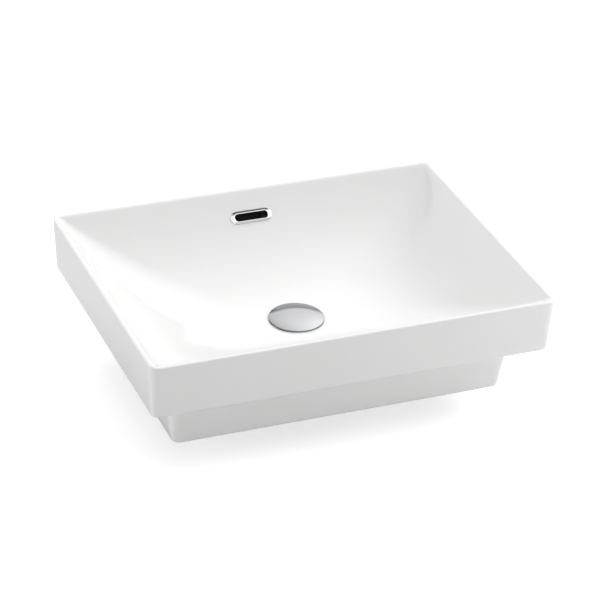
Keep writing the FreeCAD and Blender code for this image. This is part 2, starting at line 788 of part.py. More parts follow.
def make_slip_washer():
    """Thin hard washer that lets the nut turn without dragging the gasket."""
    inner = "(tail_diameter / 2 + fit_gap)"
    outer = "(gasket_diameter / 2)"
    thickness = "washer_thickness"
    corners = [(inner, "0"), (outer, "0"), (outer, thickness), (inner, thickness)]
    height = f"({BOSS_END} - gasket_height - washer_thickness)"
    return turned_ring("slip_washer", height, corners)


def make_back_nut():
    """Flanged hexagon nut with its lower corners chamfered."""
    body = new_body("back_nut")
    flats = new_sketch(body, "flats_outline", "XY_Plane")
    hexagon(flats, "nut_across_flats")
    pad(body, "hexagon", flats, "nut_height")
    flange = new_sketch(body, "flange_outline", "XY_Plane", "nut_height - nut_flange")
    circle(flange, "gasket_diameter")
    pad(body, "flange", flange, "nut_flange")
    corner_radius = "(nut_across_flats / sqrt(3))"
    cone = new_sketch(body, "corner_cut_profile", "XZ_Plane")
    cone_corners = [
        ("nut_across_flats / 2", "-1"),
        (f"({corner_radius} + 1)", "-1"),
        (f"({corner_radius} + 1)", f"(({corner_radius} - nut_across_flats / 2) * 0.6)"),
    ]
    outline(cone, cone_corners)
    groove(body, "corner_cut", cone)
    bore = new_sketch(body, "bore_outline", "XY_Plane", "-1")
    circle(bore, "tail_diameter + 2 * thread_gap")
    pocket(body, "bore", bore, "nut_height + 2", reversed_way=True)
    lift(body, f"({BOSS_END} - gasket_height - washer_thickness - nut_height)")
    return body


def make_plug_cap():
    """Disc with a low dome, turned in bands, a chamfered edge and a turned-down lip."""
    body = new_body("plug_cap")
    profile = new_sketch(body, "cap_profile", "XZ_Plane")
    corners = [
        ("0", "cap_hollow"),
        ("cap_diameter / 2 - cap_lip", "cap_hollow"),
        ("cap_diameter / 2 - cap_lip", "0"),
        ("cap_diameter / 2", "0"),
        ("cap_diameter / 2", "(cap_edge - cap_chamfer)"),
    ]
    for share in DOME_BANDS:
        rise = f"(cap_edge + cap_rise * (1 - {share} * {share}))"
        corners.append((f"((cap_diameter / 2 - cap_chamfer) * {share})", rise))
    corners.append(("0", f"(cap_edge + cap_rise * (1 - {DOME_BANDS[-1]} * {DOME_BANDS[-1]}))"))
    outline(profile, corners)
    revolve(body, "dome", profile)
    lift(body, CAP_EDGE)
    return body


def make_plug_carrier():
    """Moulded carrier under the cap: a disc, a grooved piston and a socket for the plunger."""
    body = new_body("plug_carrier")
    piston = "(piston_diameter / 2)"
    groove_floor = "(waste_bore / 2 - seal_gap - seal_section - groove_gap)"
    groove_bottom = "(seal_lift - groove_gap)"
    groove_top = "(seal_lift + seal_section + groove_gap)"
    disc_bottom = "(piston_depth - carrier_disc_thickness)"
    corners = [
        ("rod_diameter / 2 + thread_gap", "0"),
        (piston, "0"),
        (piston, groove_bottom),
        (groove_floor, groove_bottom),
        (groove_floor, groove_top),
        (piston, groove_top),
        (piston, disc_bottom),
        ("carrier_disc / 2", disc_bottom),
        ("carrier_disc / 2", "piston_depth"),
        ("0", "piston_depth"),
        ("0", "socket_depth"),
        ("rod_diameter / 2 + thread_gap", "socket_depth"),
    ]
    profile = new_sketch(body, "carrier_profile", "XZ_Plane")
    outline(profile, corners)
    revolve(body, "carrier", profile)
    lift(body, CARRIER_BOTTOM)
    return body


def make_plug_seal():
    """Rubber ring in the carrier's groove; its lip closes the bore."""
    inner = "(waste_bore / 2 - seal_gap - seal_section)"
    lip = "(waste_bore / 2 - seal_gap)"
    corners = [
        (inner, "0"),
        (f"({lip} - seal_section / 3)", "0"),
        (lip, "seal_section / 2"),
        (f"({lip} - seal_section / 3)", "seal_section"),
        (inner, "seal_section"),
    ]
    return turned_ring("plug_seal", f"({CARRIER_BOTTOM} + seal_lift)", corners)


def make_cartridge_barrel():
    """Barrel with a hexagon collar; inside, ribs with ramped ends guide and latch the rotor."""
    body = new_body("cartridge_barrel")
    collar = new_sketch(body, "collar_outline", "XY_Plane", "barrel_tail")
    hexagon(collar, "collar_across_flats")
    pad(body, "collar", collar, "collar_height")
    barrel = new_sketch(body, "barrel_outline", "XY_Plane")
    circle(barrel, "barrel_diameter")
    pad(body, "barrel", barrel, BARREL_LENGTH)
    roof = f"({BARREL_LENGTH} - barrel_roof)"
    ribs_end = f"({roof} - rib_length)"
    rod_hole = "(rod_diameter / 2 + rod_gap)"
    bore = new_sketch(body, "bore_profile", "XZ_Plane")
    bore_corners = [
        ("0", "-1"),
        ("barrel_bore / 2", "-1"),
        ("barrel_bore / 2", ribs_end),
        ("rib_bore / 2", ribs_end),
        ("rib_bore / 2", roof),
        (rod_hole, roof),
        (rod_hole, f"({BARREL_LENGTH} + 1)"),
        ("0", f"({BARREL_LENGTH} + 1)"),
    ]
    outline(bore, bore_corners)
    groove(body, "bore", bore)
    track = new_sketch(body, "track_outline", "XZ_Plane")
    track_corners = [
        ("-groove_width / 2", f"({ribs_end} - 0.5)"),
        ("groove_width / 2 + ramp_width", f"({ribs_end} - 0.5)"),
        ("groove_width / 2", f"({ribs_end} + ramp_height - 0.5)"),
        ("groove_width / 2", roof),
        ("-groove_width / 2", roof),
    ]
    outline(track, track_corners)
    first = pocket(body, "track", track, "barrel_bore / 2")
    repeat_around(body, "tracks", first, RIB_COUNT)
    lift(body, BARREL_BOTTOM)
    return body


def add_fins(body, low_left, low_right, high_left, high_right):
    """Four fins about the axis; each end of a fin may slope across its width."""
    fin = new_sketch(body, "fin_outline", "XZ_Plane", "fin_inner")
    corners = [
        ("-fin_width / 2", low_left),
        ("fin_width / 2", low_right),
        ("fin_width / 2", high_right),
        ("-fin_width / 2", high_left),
    ]
    outline(fin, corners)
    first = pad(body, "fin", fin, "fin_reach - fin_inner")
    repeat_around(body, "fins", first, RIB_COUNT)


def make_plunger():
    """Rod that carries the plug, with a finned crown that pushes the rotor."""
    body = new_body("plunger")
    tip = f"({ROTOR_TIP} - fin_slant + fin_gap)"
    crown_bottom = f"({ROTOR_TIP} + fin_gap - {tip})"
    crown_top = f"({crown_bottom} + crown_height)"
    rod_top = f"({CARRIER_BOTTOM} + socket_depth - {tip} - fit_gap)"
    pin_room = "(pin_length - latch_gap)"
    profile = new_sketch(body, "plunger_profile", "XZ_Plane")
    corners = [
        ("pin_diameter / 2 + rod_gap", crown_bottom),
        ("crown_diameter / 2", crown_bottom),
        ("crown_diameter / 2", crown_top),
        ("rod_diameter / 2", f"({crown_top} + 0.6)"),
        ("rod_diameter / 2", rod_top),
        ("0", rod_top),
        ("0", f"({crown_bottom} + {pin_room})"),
        ("pin_diameter / 2 + rod_gap", f"({crown_bottom} + {pin_room})"),
    ]
    outline(profile, corners)
    revolve(body, "rod_and_crown", profile)
    add_fins(body, "0", "fin_slant", crown_top, crown_top)
    lift(body, tip)
    return body


def make_rotor():
    """Finned index ring that the ribs turn and catch; its lower spigot centres the spring."""
    body = new_body("index_rotor")
    shoulder = "spigot_length"
    top = "(spigot_length + rotor_height)"
    high = f"({ROTOR_TIP} - {ROTOR_BOTTOM} + spigot_length)"
    profile = new_sketch(body, "rotor_profile", "XZ_Plane")
    corners = [
        ("0", "0"),
        ("spigot_diameter / 2", "0"),
        ("spigot_diameter / 2", shoulder),
        ("crown_diameter / 2", shoulder),
        ("crown_diameter / 2", top),
        ("pin_diameter / 2", top),
        ("pin_diameter / 2", f"({top} + pin_length)"),
        ("0", f"({top} + pin_length)"),
    ]
    outline(profile, corners)
    revolve(body, "rotor", profile)
    add_fins(body, shoulder, shoulder, f"({high} - fin_slant)", high)
    lift(body, f"({ROTOR_BOTTOM} - spigot_length)")
    return body


def make_end_plug():
    """Plug pressed into the barrel's lower end, with a spigot that centres the spring."""
    edge = "(barrel_bore / 2 - thread_gap)"
    corners = [
        ("0", "0"),
        (edge, "0"),
        (edge, "end_plug_height"),
        ("spigot_diameter / 2", "end_plug_height"),
        ("spigot_diameter / 2", "end_plug_height + spigot_length"),
        ("0", "end_plug_height + spigot_length"),
    ]
    return turned_ring("cartridge_end_plug", BARREL_BOTTOM, corners)


def helix_point(radius, low, high, share):
    """Place and direction on the spring's centre line, a share of its turns from the bottom."""
    angle = 2 * math.pi * SPRING_TURNS * share
    place = FreeCAD.Vector(
        radius * math.cos(angle), radius * math.sin(angle), low + (high - low) * share
    )
    climb = (high - low) / (2 * math.pi * SPRING_TURNS)
    way = FreeCAD.Vector(-radius * math.sin(angle), radius * math.cos(angle), climb)
    return place, way.normalize()


def arc_edge_towards(start, corner, end):
    """The arc that leaves start for the corner and reaches end from it."""
    arm = corner - start
    chord = end - start
    weight = arm.dot(chord) / (arm.Length * chord.Length)
    middle = (start + corner * (2 * weight) + end) * (1 / (2 + 2 * weight))
    return Part.Arc(start, middle, end).toShape()


def two_arcs(start, start_way, end, end_way):
    """Two arcs that join smoothly and run from one place and direction to another."""
    chord = end - start
    ways = start_way + end_way
    spread = 2 * (1 - start_way.dot(end_way))
    reach = (-chord.dot(ways) + math.sqrt(chord.dot(ways) ** 2 + spread * chord.dot(chord))) / spread
    first_corner = start + start_way * reach
    second_corner = end - end_way * reach
    joint = (first_corner + second_corner) * 0.5
    return [
        arc_edge_towards(start, first_corner, joint),
        arc_edge_towards(joint, second_corner, end),
    ]


def least_coil_gap(radius, low, high, wire):
    """The least clear distance between one turn and the next, on points along the wire."""
    steps = 24 * SPRING_TURNS
    points = [helix_point(radius, low, high, step / steps)[0] for step in range(steps + 1)]
    least = math.inf
    for first in range(steps + 1):
        for second in range(first + 12, steps + 1):
            least = min(least, points[first].distanceToPoint(points[second]))
    return least - wire


def ring_points(centre, way, radius, count):
    """Corners of a closed regular outline square to a direction, the first one repeated."""
    outwards = FreeCAD.Vector(centre.x, centre.y, 0).normalize()
    turned = way.cross(outwards)
    points = []
    for step in range(count + 1):
        angle = 2 * math.pi * step / count
        spoke = outwards * math.cos(angle) + turned * math.sin(angle)
        points.append(centre + spoke * radius)
    return points


def make_spring():
    """Open coil spring between the end plug and the rotor, drawn as it is with the plug shut."""
    wire = value("spring_wire")
    radius = value("spring_diameter") / 2
    clear = wire / 2 + value("spring_gap")
    low = value(PLUG_TOP) + clear
    high = value(ROTOR_BOTTOM) - clear
    arcs = []
    halves = 2 * SPRING_TURNS
    for half in range(halves):
        start, start_way = helix_point(radius, low, high, half / halves)
        end, end_way = helix_point(radius, low, high, (half + 1) / halves)
        arcs.extend(two_arcs(start, start_way, end, end_way))
    path = Part.Wire(arcs)
    start, start_way = helix_point(radius, low, high, 0)
    section = Part.makePolygon(ring_points(start, start_way, wire / 2, SPRING_SIDES))
    spring = doc.addObject("Part::Feature", "cartridge_spring")
    spring.Shape = path.makePipeShell([section], True, False)
    print("spring: least gap between turns", round(least_coil_gap(radius, low, high, wire), 2))
    print(
        "spring: volume over section times length",
        round(spring.Shape.Volume / (Part.Face(section).Area * path.Length), 4),
    )
    return spring


pieces = [
    make_basin(),
    make_overflow_trim(),
    make_overflow_grip(),
    make_waste_body(),
    make_flange_seal(),
    make_lower_gasket(),
    make_slip_washer(),
    make_back_nut(),
    make_plug_cap(),
    make_plug_carrier(),
    make_plug_seal(),
    make_cartridge_barrel(),
    make_plunger(),
    make_rotor(),
    make_end_plug(),
    make_spring(),
]
doc.recompute()

for thing in doc.Objects:
    if "Invalid" in thing.State or "Error" in thing.State:
        raise RuntimeError(f"{thing.Name} failed: {thing.State}")
for piece in pieces:
    if piece.Shape.isNull() or not piece.Shape.isValid():
        raise RuntimeError(f"{piece.Label} has no valid shape")
    if len(piece.Shape.Solids) != 1:
        raise RuntimeError(f"{piece.Label} is {len(piece.Shape.Solids)} solids")

os.makedirs("parts", exist_ok=True)
for piece in pieces:
    piece.Shape.exportStep(f"parts/{piece.Label}.step")
    print(piece.Label, round(piece.Shape.Volume / 1000, 2), "cm3", piece.Shape.BoundBox)
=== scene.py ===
import math

import bpy
import bmesh
import numpy as np
from mathutils import Matrix, Vector


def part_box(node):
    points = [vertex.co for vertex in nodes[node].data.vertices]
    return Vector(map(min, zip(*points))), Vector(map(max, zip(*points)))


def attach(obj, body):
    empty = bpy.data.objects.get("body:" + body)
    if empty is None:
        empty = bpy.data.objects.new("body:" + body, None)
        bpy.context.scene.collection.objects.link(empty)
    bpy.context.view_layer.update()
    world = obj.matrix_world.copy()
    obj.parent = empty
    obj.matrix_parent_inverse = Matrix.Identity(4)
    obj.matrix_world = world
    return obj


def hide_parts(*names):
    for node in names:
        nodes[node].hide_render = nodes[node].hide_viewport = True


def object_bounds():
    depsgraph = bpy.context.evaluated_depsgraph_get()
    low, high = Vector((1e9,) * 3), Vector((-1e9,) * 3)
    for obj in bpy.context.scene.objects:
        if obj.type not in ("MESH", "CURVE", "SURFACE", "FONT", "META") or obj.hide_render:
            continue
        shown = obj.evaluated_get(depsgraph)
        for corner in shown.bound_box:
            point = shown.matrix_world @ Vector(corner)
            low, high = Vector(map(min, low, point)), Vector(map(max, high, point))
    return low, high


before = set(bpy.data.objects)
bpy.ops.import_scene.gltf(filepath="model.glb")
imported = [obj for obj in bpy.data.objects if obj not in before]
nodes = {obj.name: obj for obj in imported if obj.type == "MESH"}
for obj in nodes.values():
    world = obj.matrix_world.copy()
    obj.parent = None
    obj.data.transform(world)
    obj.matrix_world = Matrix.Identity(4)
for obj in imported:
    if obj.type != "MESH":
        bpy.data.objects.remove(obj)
cad_low, cad_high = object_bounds()

# --- Ceramic -------------------------------------------------------------------------------
# One slip-cast and glazed piece: a drafted skirt over the worktop, a smaller drafted box that
# goes down through it, the bowl, the boss round the waste hole, and the overflow duct behind
# the bowl. The glaze covers all of it except the foot that it is fired on.

MM = 0.001
clay_low, clay_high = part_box("ceramic_basin")
rim_z = clay_high.z
foot_z = clay_low.z

SKIRT_DRAFT = 4.5 * MM
LEDGE_WIDTH = 29.5 * MM
BOX_DRAFT = 10.5 * MM
LEDGE_CORNER = 8 * MM
BOX_CORNER = 19 * MM
RIM_WIDTH = 6 * MM
RIM_ROUND = 2 * MM
SKIRT_ROUND = 3 * MM
FOOT_ROUND = 5 * MM
WALL = 9 * MM
BOWL_DEPTH = 84 * MM
FALL_ALONG = 4.65
FALL_ACROSS = 2.94
BOWL_CORNER_START = 1.6 * MM
BOWL_CORNER_TOP = 5
BOWL_CORNER_GROWTH = 66
BOWL_CORNER_BLEND = 6 * MM
BOWL_CORNER_LEAST = 1.2 * MM
BOWL_RIM_SOFT = 3.2 * MM
BOWL_SAMPLES = 1400
BOWL_HALVINGS = 34
BOWL_LAST_SHARE = 0.985
BOWL_WALL_SIDE = 5.5 * MM
BOWL_WALL_DOWN = 8 * MM
UNDERSIDE_CORNER = 25 * MM
HOLLOW_TOP = 34 * MM
THROAT_DROP = 5 * MM
THROAT_FLARE = 6 * MM
RECESS_RADIUS = 33.5 * MM
HOLE_RADIUS = 23 * MM
BOSS_RADIUS = 36 * MM
CONE_RADIUS = 27.5 * MM
SEAT_Z = -20 * MM
CONE_Z = -22 * MM
BOSS_END = -60 * MM

basin_half_length = 250 * MM
basin_half_width = 187.5 * MM
ledge_size = (basin_half_length - SKIRT_DRAFT, basin_half_width - SKIRT_DRAFT, LEDGE_CORNER)
box_size = (ledge_size[0] - LEDGE_WIDTH, ledge_size[1] - LEDGE_WIDTH, BOX_CORNER)
bowl_half_length = basin_half_length - RIM_WIDTH
bowl_half_width = basin_half_width - RIM_WIDTH
bowl_floor = rim_z - BOWL_DEPTH

# points along half a long side, round a corner and along half a short side
SIDE_STEPS = (30, 20, 24)


def rounded_outline(half_length, half_width, radius):
    """Points round a rounded rectangle, the same number on each side and corner whatever its size."""
    flat_x = max(half_length - radius, 0)
    flat_y = max(half_width - radius, 0)
    along, around, across = SIDE_STEPS
    quarter = []
    for step in range(along):
        quarter.append((flat_x * step / along, -half_width))
    for step in range(around):
        angle = math.pi / 2 * step / around
        quarter.append((flat_x + radius * math.sin(angle), -flat_y - radius * math.cos(angle)))
    for step in range(across):
        quarter.append((half_length, -flat_y * (1 - step / across)))
    return mirrored_round(quarter)


def round_outline(radius):
    """The same number of points round a circle."""
    count = sum(SIDE_STEPS)
    angles = [math.pi / 2 * step / count for step in range(count)]
    return mirrored_round([(radius * math.sin(a), -radius * math.cos(a)) for a in angles])


def mirrored_round(quarter):
    """A quarter outline from the front middle to the right middle, carried round the other three."""
    front_right = np.array(quarter, float)
    back_right = (front_right * (1, -1))[::-1]
    ends = np.array([[front_right[:, 0].max(), 0.0]])
    right = np.vstack([front_right, ends, back_right])[:-1]
    left = np.vstack([[[0.0, -front_right[0][1]]], (right[::-1] * (-1, 1))])[:-1]
    return np.vstack([right, left])


def rounded_profile(points, radii, steps=5):
    """A profile with each named corner replaced by an arc of its radius."""
    result = []
    for index, point in enumerate(points):
        radius = radii.get(index, 0)
        if not radius:
            result.append(tuple(point))
            continue
        corner = Vector(point)
        back = (Vector(points[index - 1]) - corner).normalized()
        on = (Vector(points[(index + 1) % len(points)]) - corner).normalized()
        half = back.angle(on) / 2
        centre = corner + (back + on).normalized() * (radius / math.sin(half))
        start = corner + back * (radius / math.tan(half)) - centre
        end = corner + on * (radius / math.tan(half)) - centre
        turn = start.angle_signed(end)
        for step in range(steps + 1):
            spoke = start.copy()
            spoke.rotate(Matrix.Rotation(-turn * step / steps, 2))
            result.append(tuple(centre + spoke))
    return result


def skin(name, rings, closed=False, caps=False):
    """A mesh over a stack of rings with equal numbers of points; closed joins last to first."""
    count = len(rings[0])
    corners = np.vstack(rings)
    faces = []
    for ring in range(len(rings) if closed else len(rings) - 1):
        here = ring * count
        there = (ring + 1) % len(rings) * count
        for step in range(count):
            after = (step + 1) % count
            faces.append((here + step, here + after, there + after, there + step))
    if caps:
        faces.append(tuple(range(count))[::-1])
        faces.append(tuple(range((len(rings) - 1) * count, len(rings) * count)))
    mesh = bpy.data.meshes.new(name)
    mesh.from_pydata(corners.tolist(), [], faces)
    piece = bpy.data.objects.new(name, mesh)
    bpy.context.collection.objects.link(piece)
    return piece


def finish_mesh(piece, crease=35):
    """Merge doubled points, turn all faces outwards and shade smooth but for the true edges."""
    work = bmesh.new()
    work.from_mesh(piece.data)
    bmesh.ops.remove_doubles(work, verts=work.verts, dist=1e-6)
    bmesh.ops.dissolve_degenerate(work, edges=work.edges, dist=1e-7)
    bmesh.ops.recalc_face_normals(work, faces=work.faces)
    for face in work.faces:
        face.smooth = True
    for edge in work.edges:
        edge.smooth = edge.calc_face_angle(0) < math.radians(crease)
    work.to_mesh(piece.data)
    work.free()
    return piece


def carve(piece, tool, operation="DIFFERENCE"):
    """Cut a tool's shape out of a piece, or join it on, and throw the tool away."""
    step = piece.modifiers.new("carve", "BOOLEAN")
    step.operation = operation
    step.solver = "EXACT"
    step.material_mode = "TRANSFER"
    step.object = tool
    bpy.context.view_layer.update()
    evaluated = piece.evaluated_get(bpy.context.evaluated_depsgraph_get())
    result = bpy.data.meshes.new_from_object(evaluated)
    piece.modifiers.clear()
    piece.data = result
    bpy.data.objects.remove(tool)
    return piece


def bowl_outline_at(share, side=0.0, corner=None):
    """Half length, half width and corner radius of the bowl's level outline at a share of its depth."""
    left = max(1 - share, 0)
    along = bowl_half_length * left ** (1 / FALL_ALONG) + side
    across = bowl_half_width * left ** (1 / FALL_ACROSS) + side
    grown = (BOWL_CORNER_TOP + BOWL_CORNER_GROWTH * share) * MM
    radius = max(BOWL_CORNER_START, grown) if corner is None else corner
    most = 0.8 * across
    blend = BOWL_CORNER_BLEND
    soft = -blend * math.log(math.exp(-radius / blend) + math.exp(-most / blend))
    return along, across, max(soft, BOWL_CORNER_LEAST)


def bowl_share(x, y):
    """How far down the bowl, as a share of its depth, the outline through a place lies."""
    above_rim = -0.35
    low = np.full(len(x), above_rim)
    high = np.ones(len(x))
    shares = np.linspace(above_rim, 1, BOWL_SAMPLES)
    sizes = np.array([bowl_outline_at(share) for share in shares])
    for _ in range(BOWL_HALVINGS):
        middle = (low + high) / 2
        along = np.interp(middle, shares, sizes[:, 0])
        across = np.interp(middle, shares, sizes[:, 1])
        radius = np.interp(middle, shares, sizes[:, 2])
        past_x = np.maximum(abs(x) - along + radius, 0)
        past_y = np.maximum(abs(y) - across + radius, 0)
        corner = np.hypot(past_x, past_y) - radius
        outside = np.maximum(corner, np.maximum(abs(x) - along, abs(y) - across)) > 0
        high = np.where(outside, middle, high)
        low = np.where(outside, low, middle)
    return low


def bowl_height(outline):
    """Height of the glazed surface over plan places, the bowl run softly into the flat rim."""
    wall = rim_z - BOWL_DEPTH * bowl_share(outline[:, 0], outline[:, 1])
    near = np.clip(0.5 + 0.5 * (wall - rim_z) / BOWL_RIM_SOFT, 0, 1)
    return wall * (1 - near) + rim_z * near - BOWL_RIM_SOFT * near * (1 - near)


def level(outline, z):
    """A plan outline laid at a height."""
    return np.column_stack([outline, np.full(len(outline), z)])


def sized_ring(size, outset, z):
    """A rounded rectangle of a size, grown by an outset, laid at a height."""
    return level(rounded_outline(size[0] + outset, size[1] + outset, size[2] + outset), z)


# Rings up the outside from the foot to the rim.
rings = []
box_lean = BOX_DRAFT / -foot_z
outside_profile = [(-BOX_DRAFT - WALL, foot_z), (-BOX_DRAFT, foot_z), (0, 0)]
for outset, z in rounded_profile(outside_profile, {1: FOOT_ROUND}, 6)[:-1]:
    rings.append(sized_ring(box_size, outset, z))
for step in range(1, 9):
    left = (1 - step / 8) * 0.85
    rings.append(sized_ring(box_size, -BOX_DRAFT * left, foot_z * left))
skirt_profile = [(-8 * MM, 0), (0, 0), (SKIRT_DRAFT, rim_z), (-RIM_WIDTH, rim_z)]
for outset, z in rounded_profile(skirt_profile, {1: SKIRT_ROUND, 2: RIM_ROUND}, 6)[1:-1]:
    rings.append(sized_ring(ledge_size, outset, z))

# Rings down the bowl to the recess round the waste hole.
bowl_edge = bowl_outline_at(0)
for outset in (3.4, 2.7, 2, 1.4, 0.9, 0.45):
    outline = rounded_outline(*[size + outset * MM for size in bowl_edge])
    rings.append(np.column_stack([outline, bowl_height(outline)]))
UPPER_SHARES = (0, 0.014, 0.028, 0.042, 0.06)
for share in UPPER_SHARES:
    outline = rounded_outline(*bowl_outline_at(share))
    rings.append(np.column_stack([outline, bowl_height(outline)]))
inwards = 64
top_left = (1 - UPPER_SHARES[-1]) ** (1 / FALL_ACROSS)
last_left = (1 - BOWL_LAST_SHARE) ** (1 / FALL_ACROSS)
recess = round_outline(RECESS_RADIUS)
for step in range(1, inwards + 1):
    way = step / inwards
    left = top_left * (1 - way) + last_left * way
    outline = rounded_outline(*bowl_outline_at(1 - left ** FALL_ACROSS))
    inner = max(0, (way - 0.35) / 0.65) ** 2
    outline = outline * (1 - inner) + recess * inner
    rings.append(np.column_stack([outline, bowl_height(outline)]))
recess_edge = rings[-1][:, 2]
round_in = 0.8 * MM
for step in range(1, 5):
    angle = math.pi / 2 * step / 4
    drop = round_in * (1 - math.cos(angle))
    ring = level(round_outline(RECESS_RADIUS - round_in * math.sin(angle)), 0)
    ring[:, 2] = recess_edge - drop
    rings.append(ring)
recess_wall = RECESS_RADIUS - round_in
for radius, z in (
    (recess_wall, SEAT_Z + 0.8 * MM),
    (recess_wall - 0.8 * MM, SEAT_Z),
    (CONE_RADIUS, SEAT_Z),
    (HOLE_RADIUS, CONE_Z),
    (HOLE_RADIUS, BOSS_END + 1 * MM),
    (HOLE_RADIUS + 1 * MM, BOSS_END),
    (BOSS_RADIUS - 1 * MM, BOSS_END),
    (BOSS_RADIUS, BOSS_END + 1 * MM),
    (BOSS_RADIUS, bowl_floor - BOWL_WALL_DOWN - 1 * MM),
):
    rings.append(level(round_outline(radius), z))

# Rings along the bowl's underside, down the skirt's inside and down the box's inside.
under_steps = 30
boss_edge = round_outline(BOSS_RADIUS + 2 * MM)
floor_z = bowl_floor - BOWL_WALL_DOWN
for step in range(under_steps + 1):
    way = step / under_steps
    left = 0.1 ** (1 / FALL_ACROSS) * (1 - way) + 0.69 ** (1 / FALL_ACROSS) * way
    along, across, radius = bowl_outline_at(1 - left ** FALL_ACROSS, BOWL_WALL_SIDE, UNDERSIDE_CORNER)
    outline = rounded_outline(along, across, radius)
    inner = max(0, 1 - way * 3) ** 1.5
    outline = outline * (1 - inner) + boss_edge * inner
    z = rim_z - BOWL_WALL_DOWN - BOWL_DEPTH * (1 - left ** FALL_ACROSS)
    rings.append(level(outline, z * (1 - inner) + floor_z * inner))
skirt_lean = SKIRT_DRAFT / rim_z
hollow = (box_size[0] - WALL, box_size[1] - WALL, box_size[2] - WALL / 2)
for outset, z in (
    (skirt_lean * HOLLOW_TOP - WALL, HOLLOW_TOP),
    (skirt_lean * WALL - WALL, WALL),
):
    rings.append(sized_ring(ledge_size, outset, z))
for outset, z in (
    (THROAT_FLARE, WALL),
    (-box_lean * THROAT_DROP, -THROAT_DROP),
    (-BOX_DRAFT, foot_z),
):
    rings.append(sized_ring(hollow, outset, z))
basin = finish_mesh(skin("glazed_basin", rings, closed=True))


def new_material(name):
    """An empty node material with its output and one Principled shader."""
    material = bpy.data.materials.new(name)
    material.use_nodes = True
    tree = material.node_tree
    tree.nodes.clear()
    output = tree.nodes.new("ShaderNodeOutputMaterial")
    shader = tree.nodes.new("ShaderNodeBsdfPrincipled")
    tree.links.new(shader.outputs["BSDF"], output.inputs["Surface"])
    return material, tree, shader


def add(tree, kind, inputs=None, **settings):
    """One node with its settings; an input is a number, a colour, or another node's output."""
    node = tree.nodes.new(kind)
    for key, setting in settings.items():
        setattr(node, key, setting)
    for key, source in (inputs or {}).items():
        if isinstance(source, bpy.types.NodeSocket):
            tree.links.new(source, node.inputs[key])
        else:
            node.inputs[key].default_value = source
    return node


def mix_numbers(tree, mask, first, second):
    """A number that goes from the first to the second where a mask goes from 0 to 1."""
    mix = add(tree, "ShaderNodeMix", {"Factor": mask, "A": first, "B": second})
    return mix.outputs["Result"]


def mix_colours(tree, mask, first, second):
    """A colour that goes from the first to the second where a mask goes from 0 to 1."""
    mix = add(tree, "ShaderNodeMix", {"Factor": mask, "A": first, "B": second}, data_type="RGBA")
    return mix.outputs["Result"]


def new_group(name, sockets_in, sockets_out):
    """A shader node group with named inputs, their defaults, and named outputs."""
    group = bpy.data.node_groups.new(name, "ShaderNodeTree")
    for label, kind, default in sockets_in:
        socket = group.interface.new_socket(name=label, in_out="INPUT", socket_type=kind)
        socket.default_value = default
    for label, kind in sockets_out:
        group.interface.new_socket(name=label, in_out="OUTPUT", socket_type=kind)
    start = group.nodes.new("NodeGroupInput")
    end = group.nodes.new("NodeGroupOutput")
    return group, start, end


def waviness_group():
    """Long low swells and a fine grain, as a height for a Bump node."""
    group, start, end = new_group(
        "surface_height",
        [
            ("Swell Scale", "NodeSocketFloat", 12.0),
            ("Grain Scale", "NodeSocketFloat", 900.0),
            ("Grain Share", "NodeSocketFloat", 0.1),
        ],
        [("Height", "NodeSocketFloat")],
    )
    place = add(group, "ShaderNodeTexCoord")
    swell = add(
        group,
        "ShaderNodeTexNoise",
        {"Vector": place.outputs["Object"], "Scale": start.outputs["Swell Scale"], "Detail": 1.0},
    )
    grain = add(
        group,
        "ShaderNodeTexNoise",
        {"Vector": place.outputs["Object"], "Scale": start.outputs["Grain Scale"], "Detail": 3.0},
    )
    both = mix_numbers(
        group, start.outputs["Grain Share"], swell.outputs["Fac"], grain.outputs["Fac"]
    )
    group.links.new(both, end.inputs["Height"])
    return group


def patches_group():
    """A mask of soft uneven patches, from nothing to full, at a scale."""
    group, start, end = new_group(
        "soft_patches",
        [
            ("Scale", "NodeSocketFloat", 20.0),
            ("Start", "NodeSocketFloat", 0.4),
            ("Full", "NodeSocketFloat", 0.65),
        ],
        [("Mask", "NodeSocketFloat")],
    )
    place = add(group, "ShaderNodeTexCoord")
    cloud = add(
        group,
        "ShaderNodeTexNoise",
        {"Vector": place.outputs["Object"], "Scale": start.outputs["Scale"], "Detail": 4.0},
    )
    mask = add(
        group,
        "ShaderNodeMapRange",
        {
            "Value": cloud.outputs["Fac"],
            "From Min": start.outputs["Start"],
            "From Max": start.outputs["Full"],
        },
    )
    group.links.new(mask.outputs["Result"], end.inputs["Mask"])
    return group


surface_height = waviness_group()
soft_patches = patches_group()


def use_group(tree, group, **values):
    """A group placed in a material with its own values; underscores stand for spaces."""
    node = add(tree, "ShaderNodeGroup", node_tree=group)
    for key, setting in values.items():
        node.inputs[key.replace("_", " ")].default_value = setting
    return node


def add_bump(tree, shader, height, strength, distance):
    """A height map laid on a shader as a bump."""
    inputs = {"Height": height, "Strength": strength, "Distance": distance}
    bump = add(tree, "ShaderNodeBump", inputs)
    tree.links.new(bump.outputs["Normal"], shader.inputs["Normal"])


